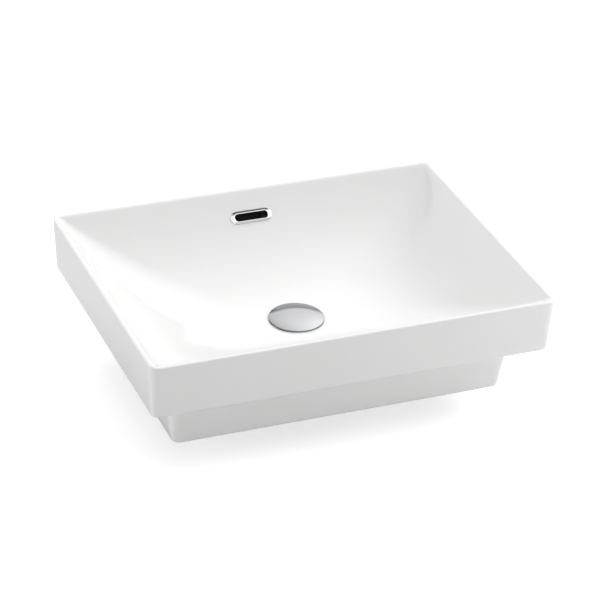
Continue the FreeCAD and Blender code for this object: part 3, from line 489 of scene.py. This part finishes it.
def glazed_ceramic():
    """White glaze over the clay, in soft patches of slightly different white, with the foot left
    unglazed.
    """
    material, tree, shader = new_material("glazed_white_ceramic")
    place = add(tree, "ShaderNodeNewGeometry")
    parts = add(tree, "ShaderNodeSeparateXYZ", {"Vector": place.outputs["Position"]})
    foot = add(
        tree,
        "ShaderNodeMapRange",
        {"Value": parts.outputs["Z"], "From Min": foot_z + 0.0004, "From Max": foot_z + 0.0001},
    )
    bare = foot.outputs["Result"]
    patches = use_group(tree, soft_patches, Scale=9.0, Start=0.35, Full=0.7)
    tint = mix_colours(tree, patches.outputs["Mask"], (0.905, 0.905, 0.9, 1), (0.915, 0.915, 0.912, 1))
    specks = use_group(tree, soft_patches, Scale=260.0, Start=0.5, Full=0.8)
    bisque = mix_colours(tree, specks.outputs["Mask"], (0.74, 0.71, 0.66, 1), (0.6, 0.57, 0.52, 1))
    tree.links.new(mix_colours(tree, bare, tint, bisque), shader.inputs["Base Color"])
    tree.links.new(mix_numbers(tree, bare, 0.1, 0.85), shader.inputs["Roughness"])
    height = use_group(tree, surface_height, Swell_Scale=14.0, Grain_Scale=500.0, Grain_Share=0.02)
    add_bump(tree, shader, height.outputs["Height"], 0.12, 0.001)
    shader.inputs["IOR"].default_value = 1.52
    return material


def dress(piece, material):
    """Give a piece one material all over."""
    piece.data.materials.clear()
    piece.data.materials.append(material)
    return piece


def painted_shade_clay():
    """The duct's inside, which the glaze doesn't reach: dull and near-black, painted shade for the deep
    shade in the duct, mottled at random.
    """
    material, tree, shader = new_material("duct_clay_painted_shade")
    shade_mottle = use_group(tree, soft_patches, Scale=70.0, Start=0.35, Full=0.7)
    tint = mix_colours(tree, shade_mottle.outputs["Mask"], (0.03, 0.03, 0.03, 1), (0.015, 0.015, 0.014, 1))
    tree.links.new(tint, shader.inputs["Base Color"])
    height = use_group(tree, surface_height, Swell_Scale=60.0, Grain_Scale=900.0, Grain_Share=0.6)
    add_bump(tree, shader, height.outputs["Height"], 0.5, 0.0003)
    shader.inputs["Roughness"].default_value = 0.9
    return material


glaze = glazed_ceramic()
duct_painted_shade = painted_shade_clay()
dress(basin, glaze)

# The overflow's slot lies square on the back wall, and a duct leads from it to the waste hole.
OVERFLOW_DROP = 26.4 * MM
SLOT_LENGTH = 43 * MM
SLOT_HEIGHT = 8.4 * MM
slot_share = OVERFLOW_DROP / BOWL_DEPTH
slot_y = bowl_half_width * (1 - slot_share) ** (1 / FALL_ACROSS)
slot_z = rim_z - OVERFLOW_DROP
wall_slope = BOWL_DEPTH * FALL_ACROSS / bowl_half_width * (slot_y / bowl_half_width) ** (FALL_ACROSS - 1)
wall_tilt = Matrix.Translation((0, slot_y, slot_z)) @ Matrix.Rotation(math.atan(wall_slope), 4, "X")
OBLONG_STEPS = 16


def oblong_ring(half_length, half_height, up):
    """Points round a slot outline with round ends, at a height over the sloping wall."""
    flat = half_length - half_height
    points = []
    for end, side in ((0, 1), (1, -1)):
        for step in range(OBLONG_STEPS + 1):
            angle = math.pi * (step / OBLONG_STEPS + end) - math.pi / 2
            x = flat * side + half_height * math.cos(angle)
            points.append((x, half_height * math.sin(angle), up))
        for step in range(1, OBLONG_STEPS):
            share = 1 - 2 * step / OBLONG_STEPS
            points.append((flat * side * share, half_height * side, up))
    return np.array([wall_tilt @ Vector(point) for point in points])


def slot_tool(half_length, half_height, reach):
    """A straight oblong bar through the wall, as a tool for carving."""
    ends = [oblong_ring(half_length, half_height, up) for up in (-reach, reach)]
    return finish_mesh(skin("slot_tool", ends, caps=True))


def prism_tool(name, points, half_width):
    """A solid between two copies of an outline in the upright middle plane."""
    left = np.array([(-half_width, y, z) for y, z in points])
    right = left * (-1, 1, 1)
    return finish_mesh(skin(name, [left, right], caps=True))


def under_bowl(share, drop=0.0, out=0.0):
    """A place under the bowl's back wall, a share of its half width from the middle."""
    y = bowl_half_width * share + BOWL_WALL_SIDE + out
    z = rim_z - BOWL_DEPTH * (1 - share ** FALL_ACROSS) - BOWL_WALL_DOWN - drop
    return y, z


DUCT_HEIGHT = 11 * MM
DUCT_FLOOR = 8 * MM
DUCT_HALF_WIDTH = 18 * MM
DUCT_WALL = 7 * MM
bore_side = HOLE_RADIUS - DUCT_WALL
chamber_back = ledge_size[1] - WALL
block_depth = DUCT_HEIGHT + DUCT_FLOOR
roof_z = under_bowl(0.1)[1]
block_front = HOLE_RADIUS + 3 * MM
block_points = [(block_front, bowl_floor - 3 * MM), (block_front, roof_z - block_depth)]
block_points += [under_bowl(share, block_depth, block_depth / 3) for share in (0.1, 0.35, 0.55)]
block_points += [
    (box_size[1] - WALL / 2 - BOX_DRAFT / 5, foot_z / 5),
    (box_size[1] - WALL / 2, WALL / 2),
    (ledge_size[1] - WALL / 2, WALL / 2),
    (ledge_size[1] - WALL / 2, HOLLOW_TOP + DUCT_HEIGHT),
]
block_points += [under_bowl(share, -4 * MM, -1 * MM) for share in (0.8, 0.6, 0.4)]
block = prism_tool("duct_block", block_points, DUCT_HALF_WIDTH + DUCT_WALL)
basin = carve(basin, dress(block, glaze), "UNION")
passage_points = [(bore_side, roof_z)]
passage_points += [under_bowl(share) for share in (0.1, 0.35, 0.55, 0.72, 0.86)]
passage_points += [
    (chamber_back - DUCT_HEIGHT / 4, HOLLOW_TOP + DUCT_HEIGHT / 2),
    (chamber_back, HOLLOW_TOP),
    (chamber_back, WALL),
    (hollow[1] + THROAT_FLARE, WALL),
    (hollow[1] - box_lean * THROAT_DROP, -THROAT_DROP),
]
passage_points += [under_bowl(share, DUCT_HEIGHT, DUCT_HEIGHT / 3) for share in (0.55, 0.35, 0.1)]
passage_points.append((bore_side, roof_z - DUCT_HEIGHT))
passage = prism_tool("duct_passage", passage_points, DUCT_HALF_WIDTH)
# The duct's and the slot's cut faces take the near-black painted shade.
basin = carve(basin, dress(passage, duct_painted_shade))
GRIP_ROOM = 2.8 * MM
SLOT_REACH = 13 * MM
slot = slot_tool(SLOT_LENGTH / 2 + GRIP_ROOM, SLOT_HEIGHT / 2 + GRIP_ROOM, SLOT_REACH)
basin = carve(basin, dress(slot, duct_painted_shade))
finish_mesh(basin, 40)
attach(basin, "basin")
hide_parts("ceramic_basin")

# --- Waste body, threads and clamping pieces --------------------------------------------------
# A turned and plated brass tube with a pipe thread on its tail, held in the ceramic between two
# rubber rings by a plastic washer and a flanged hexagon nut.

FLANGE_RADIUS = 32.5 * MM
FLANGE_TOP = -16.5 * MM
FLANGE_UNDER = -18.5 * MM
TAIL_RADIUS = 20.955 * MM
TAIL_END = -103.5 * MM
BORE_RADIUS = 17.75 * MM
DISH_RADIUS = 29 * MM
DISH_DEPTH = 4.5 * MM
THREAD_PITCH = 2.309 * MM
THREAD_DEPTH = 1.1 * MM
THREAD_TOP = -61.5 * MM
TOOTH_STEEPNESS = 2.6
TOOTH_CREST = 0.15
GROOVE_LOW = -79.5 * MM
GROOVE_HIGH = -78 * MM
GROOVE_DEPTH = 1 * MM
WINDOW_HALF_WIDTH = 5 * MM
WINDOW_TOP = -27 * MM
WINDOW_BOTTOM = -40 * MM
HUB_RADIUS = 9.5 * MM
HUB_TOP = -50 * MM
HUB_BOTTOM = -60 * MM
HUB_BORE = 6.55 * MM
AXIS_GAP = 0.01 * MM
ARM_HALF = 1.5 * MM
AROUND = 96


def turned_ring(radius, z, count=AROUND):
    """A level ring round the upright axis; the radius may differ from point to point."""
    angles = 2 * math.pi * np.arange(count) / count
    return np.column_stack([radius * np.cos(angles), radius * np.sin(angles), np.full(count, z)])


def lathe(name, profile, count=AROUND):
    """A turned form: a profile of (radius, height) pairs carried round the upright axis."""
    return skin(name, [turned_ring(radius, z, count) for radius, z in profile], closed=True)


def box_tool(name, low, high):
    """A plain block between two corners, as a tool for carving."""
    x = (low[0], high[0])
    y = (low[1], high[1])
    outline = [(x[0], y[0]), (x[1], y[0]), (x[1], y[1]), (x[0], y[1])]
    rings = [level(np.array(outline), z) for z in (low[2], high[2])]
    return finish_mesh(skin(name, rings, caps=True))


def threaded_tube():
    """The waste's tube: its outside has a helical thread from the tail's end up to the boss."""
    rings = []
    angles = 2 * math.pi * np.arange(AROUND) / AROUND
    step = THREAD_PITCH / 9
    z = TAIL_END
    while z < THREAD_TOP:
        phase = ((z - TAIL_END) / THREAD_PITCH - angles / (2 * math.pi)) % 1
        tooth = np.clip(TOOTH_STEEPNESS * abs(phase - 0.5) - TOOTH_CREST, 0, 1)
        fade = min(1, (z - TAIL_END) / THREAD_PITCH + 0.3, (THREAD_TOP - z) / THREAD_PITCH)
        groove = GROOVE_DEPTH if GROOVE_LOW < z < GROOVE_HIGH else 0
        radius = TAIL_RADIUS - np.maximum(THREAD_DEPTH * tooth * fade, groove)
        rings.append(turned_ring(radius, z))
        z += step
    upper = [
        (TAIL_RADIUS, THREAD_TOP),
        (TAIL_RADIUS, FLANGE_UNDER - 3 * MM),
        (CONE_RADIUS, FLANGE_UNDER),
        (FLANGE_RADIUS, FLANGE_UNDER),
        (FLANGE_RADIUS, FLANGE_TOP),
        (DISH_RADIUS, FLANGE_TOP),
        (BORE_RADIUS, FLANGE_TOP - DISH_DEPTH),
        (BORE_RADIUS, TAIL_END),
    ]
    rounds = {3: 0.2 * MM, 4: 0.8 * MM, 5: 0.6 * MM, 6: 1.5 * MM}
    rings += [turned_ring(radius, height) for radius, height in rounded_profile(upper, rounds, 4)]
    return finish_mesh(skin("waste_tube", rings, closed=True))


waste = threaded_tube()
for reach in ((1, 0), (0, 1)):
    half = [WINDOW_HALF_WIDTH + (TAIL_RADIUS - WINDOW_HALF_WIDTH + 2 * MM) * way for way in reach]
    window = box_tool("window", (-half[0], -half[1], WINDOW_BOTTOM), (half[0], half[1], WINDOW_TOP))
    waste = carve(waste, window)
for reach in ((1, 0), (0, 1)):
    half = [ARM_HALF + (BORE_RADIUS - ARM_HALF + 1 * MM) * way for way in reach]
    arm = box_tool("arm", (-half[0], -half[1], HUB_BOTTOM), (half[0], half[1], HUB_TOP - 2 * MM))
    waste = carve(waste, arm, "UNION")
hub = finish_mesh(
    lathe(
        "hub",
        [(AXIS_GAP, HUB_BOTTOM), (HUB_RADIUS, HUB_BOTTOM), (HUB_RADIUS, HUB_TOP), (AXIS_GAP, HUB_TOP)],
    )
)
waste = carve(waste, hub, "UNION")
hub_bore = [
    (AXIS_GAP, HUB_BOTTOM - MM),
    (HUB_BORE, HUB_BOTTOM - MM),
    (HUB_BORE, HUB_TOP + MM),
    (AXIS_GAP, HUB_TOP + MM),
]
waste = carve(waste, finish_mesh(lathe("hub_bore", hub_bore)))
finish_mesh(waste, 32)


def polished_plate(name, base):
    """Bright plating: mirror-like, with faint polishing swirls and a few duller patches."""
    material, tree, shader = new_material(name)
    patches = use_group(tree, soft_patches, Scale=60.0, Start=0.45, Full=0.7)
    mask = patches.outputs["Mask"]
    duller = (base[0] * 0.97, base[1] * 0.97, base[2] * 0.98, 1)
    tree.links.new(mix_colours(tree, mask, (*base, 1), duller), shader.inputs["Base Color"])
    tree.links.new(mix_numbers(tree, mask, 0.04, 0.08), shader.inputs["Roughness"])
    height = use_group(tree, surface_height, Swell_Scale=40.0, Grain_Scale=4000.0, Grain_Share=0.3)
    add_bump(tree, shader, height.outputs["Height"], 0.03, 0.0004)
    shader.inputs["Metallic"].default_value = 1.0
    return material


dress(waste, polished_plate("polished_chrome", (0.72, 0.725, 0.73)))
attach(waste, "basin")
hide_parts("waste_body")


def moulded(name, colour, mottled, roughness, grain_scale, grain_height):
    """Rubber or plastic out of a mould: an even colour, slightly mottled, with a fine grain."""
    material, tree, shader = new_material(name)
    patches = use_group(tree, soft_patches, Scale=140.0, Start=0.35, Full=0.75)
    mask = patches.outputs["Mask"]
    tree.links.new(mix_colours(tree, mask, (*colour, 1), (*mottled, 1)), shader.inputs["Base Color"])
    gloss = mix_numbers(tree, mask, roughness, roughness + 0.12)
    tree.links.new(gloss, shader.inputs["Roughness"])
    height = use_group(
        tree, surface_height, Swell_Scale=90.0, Grain_Scale=grain_scale, Grain_Share=0.7
    )
    add_bump(tree, shader, height.outputs["Height"], 0.4, grain_height)
    return material


def turned_brass():
    """Bare brass with the fine rings of the turning tool and a little tarnish."""
    material, tree, shader = new_material("turned_brass")
    place = add(tree, "ShaderNodeTexCoord")
    rings = add(
        tree,
        "ShaderNodeTexWave",
        {"Vector": place.outputs["Object"], "Scale": 900.0, "Distortion": 1.5, "Detail": 2.0},
        wave_type="BANDS",
        bands_direction="Z",
    )
    tarnish = use_group(tree, soft_patches, Scale=55.0, Start=0.42, Full=0.72)
    mask = tarnish.outputs["Mask"]
    tint = mix_colours(tree, mask, (0.78, 0.6, 0.3, 1), (0.52, 0.37, 0.17, 1))
    tree.links.new(tint, shader.inputs["Base Color"])
    tree.links.new(mix_numbers(tree, mask, 0.22, 0.42), shader.inputs["Roughness"])
    add_bump(tree, shader, rings.outputs["Fac"], 0.25, 0.0001)
    shader.inputs["Metallic"].default_value = 1.0
    return material


black_rubber = moulded("black_rubber", (0.03, 0.03, 0.032), (0.05, 0.05, 0.05), 0.55, 2200.0, 0.0001)
white_plastic = moulded("white_plastic", (0.8, 0.8, 0.77), (0.74, 0.74, 0.7), 0.38, 1500.0, 0.00005)
brass = turned_brass()
for name, material in (
    ("flange_seal", black_rubber),
    ("lower_gasket", black_rubber),
    ("slip_washer", white_plastic),
    ("back_nut", brass),
):
    dress(nodes[name], material)

# --- Push-to-open cartridge -------------------------------------------------------------------
# A brass barrel on the bridge's hub. In it a moulded index rotor and a coil spring of drawn
# steel wire work against a brass plunger; a brass plug closes the lower end.

grey_plastic = moulded("grey_plastic", (0.13, 0.13, 0.135), (0.17, 0.17, 0.17), 0.42, 1800.0, 0.00005)


def drawn_wire():
    """Spring steel, mottled in colour and gloss."""
    material, tree, shader = new_material("drawn_spring_wire")
    patches = use_group(tree, soft_patches, Scale=300.0, Start=0.4, Full=0.7)
    mask = patches.outputs["Mask"]
    tint = mix_colours(tree, mask, (0.5, 0.5, 0.51, 1), (0.36, 0.36, 0.38, 1))
    tree.links.new(tint, shader.inputs["Base Color"])
    tree.links.new(mix_numbers(tree, mask, 0.25, 0.4), shader.inputs["Roughness"])
    shader.inputs["Metallic"].default_value = 1.0
    return material


for name, material in (
    ("cartridge_barrel", brass),
    ("cartridge_end_plug", brass),
    ("cartridge_spring", drawn_wire()),
    ("index_rotor", grey_plastic),
    ("plunger", brass),
):
    dress(nodes[name], material)

# --- Plug -------------------------------------------------------------------------------------
# A pressed and plated brass cap on a moulded carrier, with a rubber ring that closes the bore.
# The cap is a low dome, flat in the middle and steeper outwards, with a small rolled edge.

dress(nodes["plug_carrier"], grey_plastic)
dress(nodes["plug_seal"], black_rubber)

cap_low, cap_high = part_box("plug_cap")
cap_radius = cap_high.x
CAP_EDGE = 1.9 * MM
CAP_HOLLOW = 1.7 * MM
CAP_LIP = 1.4 * MM
EDGE_ROLL = 0.5 * MM
CAP_AXIS_GAP = 0.02 * MM
DOME_STEPS = 28
CAP_AROUND = 144
cap_profile = [
    (CAP_AXIS_GAP, cap_low.z + CAP_HOLLOW),
    (cap_radius - CAP_LIP, cap_low.z + CAP_HOLLOW),
    (cap_radius - CAP_LIP, cap_low.z),
    (cap_radius, cap_low.z),
    (cap_radius, cap_low.z + CAP_EDGE),
]
dome_rise = cap_high.z - cap_low.z - CAP_EDGE
for step in range(1, DOME_STEPS):
    share = 1 - step / DOME_STEPS
    cap_profile.append((cap_radius * share, cap_low.z + CAP_EDGE + dome_rise * (1 - share ** 3)))
cap_profile.append((CAP_AXIS_GAP, cap_high.z))
cap = lathe("domed_cap", rounded_profile(cap_profile, {3: 0.2 * MM, 4: EDGE_ROLL}), CAP_AROUND)
finish_mesh(cap, 50)
# The cap's plating colour is far darker than the waste's: a painted dark reflection.
dress(cap, polished_plate("chrome_painted_dark_reflection", (0.255, 0.257, 0.262)))
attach(cap, "plug")
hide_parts("plug_cap")

# --- Overflow trim ----------------------------------------------------------------------------
# A pressed and plated brass ring pushed into the slot: a bevel that rises from the wall to a
# ridge, rounds over it and turns down into a sleeve, which a ribbed rubber collar grips.

pale_rubber = moulded("pale_rubber", (0.7, 0.7, 0.68), (0.64, 0.64, 0.62), 0.6, 2000.0, 0.0001)
dress(nodes["overflow_grip"], pale_rubber)

TRIM_END = 5.6 * MM
TRIM_SIDE = 4 * MM
TRIM_LIFT = 0.3 * MM
TRIM_EDGE = 0.5 * MM
TRIM_CREST = 2.4 * MM
TRIM_MOUTH = 1.3 * MM
BEVEL_SWELL = 0.15
SLEEVE_WALL = 1.1 * MM
SLEEVE_DEPTH = 13 * MM
TRIM_STEPS = 10


def trim_line(outset_end, outset_side, up):
    """One line round the trim, so far out from the slot at its ends and along its sides."""
    return oblong_ring(SLOT_LENGTH / 2 + outset_end, SLOT_HEIGHT / 2 + outset_side, TRIM_LIFT + up)


trim_rings = [
    trim_line(SLEEVE_WALL, SLEEVE_WALL, -SLEEVE_DEPTH),
    trim_line(SLEEVE_WALL, SLEEVE_WALL, 0),
    trim_line(TRIM_END, TRIM_SIDE, 0),
]
for step in range(TRIM_STEPS + 1):
    inwards = step / TRIM_STEPS
    height = TRIM_EDGE + (TRIM_CREST - TRIM_EDGE) * inwards * (1 + BEVEL_SWELL * (1 - inwards))
    end = TRIM_END - (TRIM_END - TRIM_MOUTH) * inwards
    side = TRIM_SIDE - (TRIM_SIDE - TRIM_MOUTH) * inwards
    trim_rings.append(trim_line(end, side, height))
for step in range(1, TRIM_STEPS + 1):
    angle = math.pi / 2 * step / TRIM_STEPS
    outset = TRIM_MOUTH * (1 - math.sin(angle))
    trim_rings.append(trim_line(outset, outset, TRIM_CREST - TRIM_MOUTH * (1 - math.cos(angle))))
trim_rings.append(trim_line(0, 0, -SLEEVE_DEPTH))
trim = finish_mesh(skin("overflow_ring", trim_rings, closed=True), 30)


def plate_with_painted_ceiling_reflection():
    """Bright plating whose faces that look up are coloured dark: a painted reflection of a dark ceiling.
    """
    material = polished_plate("chrome_painted_ceiling_reflection", (0.6, 0.605, 0.61))
    tree = material.node_tree
    base = tree.nodes["Principled BSDF"].inputs["Base Color"]
    geometry = add(tree, "ShaderNodeNewGeometry")
    upright = add(tree, "ShaderNodeSeparateXYZ", {"Vector": geometry.outputs["Normal"]})
    # Painted reflection: the more a face looks up, the darker its plating colour.
    painted_reflection_mask = add(
        tree,
        "ShaderNodeMapRange",
        {"Value": upright.outputs["Z"], "From Min": 0.74, "From Max": 0.9},
    )
    plated = base.links[0].from_socket
    tint = mix_colours(tree, painted_reflection_mask.outputs["Result"], plated, (0.05, 0.05, 0.052, 1))
    tree.links.new(tint, base)
    return material


dress(trim, plate_with_painted_ceiling_reflection())
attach(trim, "basin")
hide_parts("overflow_trim")

# --- Floor, light and camera ------------------------------------------------------------------
# A seamless white floor, in soft light from all round and from one low softbox at the right.
# The camera looks down at the basin from the front left.

FLOOR_DROP = 0.5 * MM
FLOOR_GLOW = 0.62
FLOOR_REACH = 6.0
floor_mesh = bpy.data.meshes.new("floor")
corners = [(FLOOR_REACH * x, FLOOR_REACH * y) for x, y in ((-1, -1), (1, -1), (1, 1), (-1, 1))]
floor_mesh.from_pydata([(x, y, cad_low.z - FLOOR_DROP) for x, y in corners], [], [(0, 1, 2, 3)])
floor = bpy.data.objects.new("floor", floor_mesh)
bpy.context.collection.objects.link(floor)
floor_material, floor_tree, floor_shader = new_material("white_floor")
floor_shader.inputs["Base Color"].default_value = (0.8, 0.8, 0.8, 1)
floor_shader.inputs["Roughness"].default_value = 0.9
floor_shader.inputs["Emission Color"].default_value = (1, 1, 1, 1)
seen = add(floor_tree, "ShaderNodeLightPath")
glow = add(
    floor_tree,
    "ShaderNodeMath",
    {0: seen.outputs["Is Camera Ray"], 1: FLOOR_GLOW},
    operation="MULTIPLY",
)
floor_tree.links.new(glow.outputs["Value"], floor_shader.inputs["Emission Strength"])
dress(floor, floor_material)

# Broad soft sources round the studio: degrees from the back towards the right, degrees up,
# how narrow each is, and its strength.
SOFT_SOURCES = (
    (0, 90, 8, 0.2),
    (60, 60, 8, 1.82),
    (90, 42, 8, 1.6),
    (135, 42, 8, 0.8),
    (180, 42, 8, 0.12),
    (225, 8, 8, 0.15),
    (270, 8, 8, 2.75),
    (315, 8, 8, 0.38),
    (0, 8, 8, 0.75),
    (35, 36, 30, 1.75),
)

# Polished faces mirror a brighter and more even studio than the one that lights the rest.
MIRROR_GAIN = 0.7
MIRROR_LEAST = 1.4
world = bpy.data.worlds.new("studio")
world.use_nodes = True
bpy.context.scene.world = world
sky_tree = world.node_tree
sky = sky_tree.nodes["Background"]
sky.inputs["Color"].default_value = (1, 1, 1, 1)
direction = add(sky_tree, "ShaderNodeTexCoord")


def sky_math(operation, *values):
    """The output of one arithmetic node in the sky's tree."""
    return add(sky_tree, "ShaderNodeMath", dict(enumerate(values)), operation=operation).outputs["Value"]


def sky_lobe(turn, height, narrowness):
    """A round patch of the sky: 1 in its middle and fading outwards."""
    turn = math.radians(turn)
    height = math.radians(height)
    towards = (math.sin(turn) * math.cos(height), math.cos(turn) * math.cos(height), math.sin(height))
    facing = add(
        sky_tree,
        "ShaderNodeVectorMath",
        {0: direction.outputs["Generated"], 1: towards},
        operation="DOT_PRODUCT",
    )
    return sky_math("POWER", sky_math("MAXIMUM", facing.outputs["Value"], 0), narrowness)


gathered = 0.0
for turn, height, narrowness, strength in SOFT_SOURCES:
    lobe = sky_lobe(turn, height, narrowness)
    gathered = sky_math("MULTIPLY_ADD", lobe, strength, gathered)
mirrored = sky_math("MULTIPLY_ADD", gathered, MIRROR_GAIN, MIRROR_LEAST)
sky_seen = add(sky_tree, "ShaderNodeLightPath")
studio = mix_numbers(sky_tree, sky_seen.outputs["Is Glossy Ray"], gathered, mirrored)
backdrop = mix_numbers(sky_tree, sky_seen.outputs["Is Camera Ray"], studio, 1.0)
sky_tree.links.new(backdrop, sky.inputs["Strength"])


def soft_light(name, place, target, size, power):
    """A square softbox turned towards a place."""
    lamp = bpy.data.lights.new(name, "AREA")
    lamp.shape = "SQUARE"
    lamp.size = size
    lamp.energy = power
    light = bpy.data.objects.new(name, lamp)
    light.location = place
    light.rotation_mode = "QUATERNION"
    light.rotation_quaternion = (Vector(target) - Vector(place)).to_track_quat("-Z", "Y")
    bpy.context.collection.objects.link(light)


soft_light("low_right", (0.75, -0.75, 0), (0.2, -0.15, 0), 0.5, 2.1)

CAMERA_AZIMUTH = math.radians(-22.95)
CAMERA_ELEVATION = math.radians(30)
CAMERA_ROLL = math.radians(2.65)
CAMERA_DISTANCE = 3.1577
CAMERA_TARGET = Vector((-0.03615, -0.09365, rim_z))
LENS_PER_FRAME = 2732.56 / 600
SENSOR = 36.0
camera_data = bpy.data.cameras.new("camera")
camera_data.sensor_width = SENSOR
camera_data.lens = LENS_PER_FRAME * SENSOR
camera = bpy.data.objects.new("camera", camera_data)
bpy.context.collection.objects.link(camera)
back = Vector(
    (
        math.sin(CAMERA_AZIMUTH) * math.cos(CAMERA_ELEVATION),
        -math.cos(CAMERA_AZIMUTH) * math.cos(CAMERA_ELEVATION),
        math.sin(CAMERA_ELEVATION),
    )
)
right = (-back).cross(Vector((0, 0, 1))).normalized()
up = right.cross(-back)
rolled_right = right * math.cos(CAMERA_ROLL) + up * math.sin(CAMERA_ROLL)
rolled_up = up * math.cos(CAMERA_ROLL) - right * math.sin(CAMERA_ROLL)
axes = Matrix((rolled_right, rolled_up, back)).transposed()
camera.matrix_world = Matrix.Translation(CAMERA_TARGET + back * CAMERA_DISTANCE) @ axes.to_4x4()
camera_data.clip_start = 0.05
camera_data.clip_end = 100
bpy.context.scene.camera = camera
bpy.context.scene.view_settings.view_transform = "Standard"
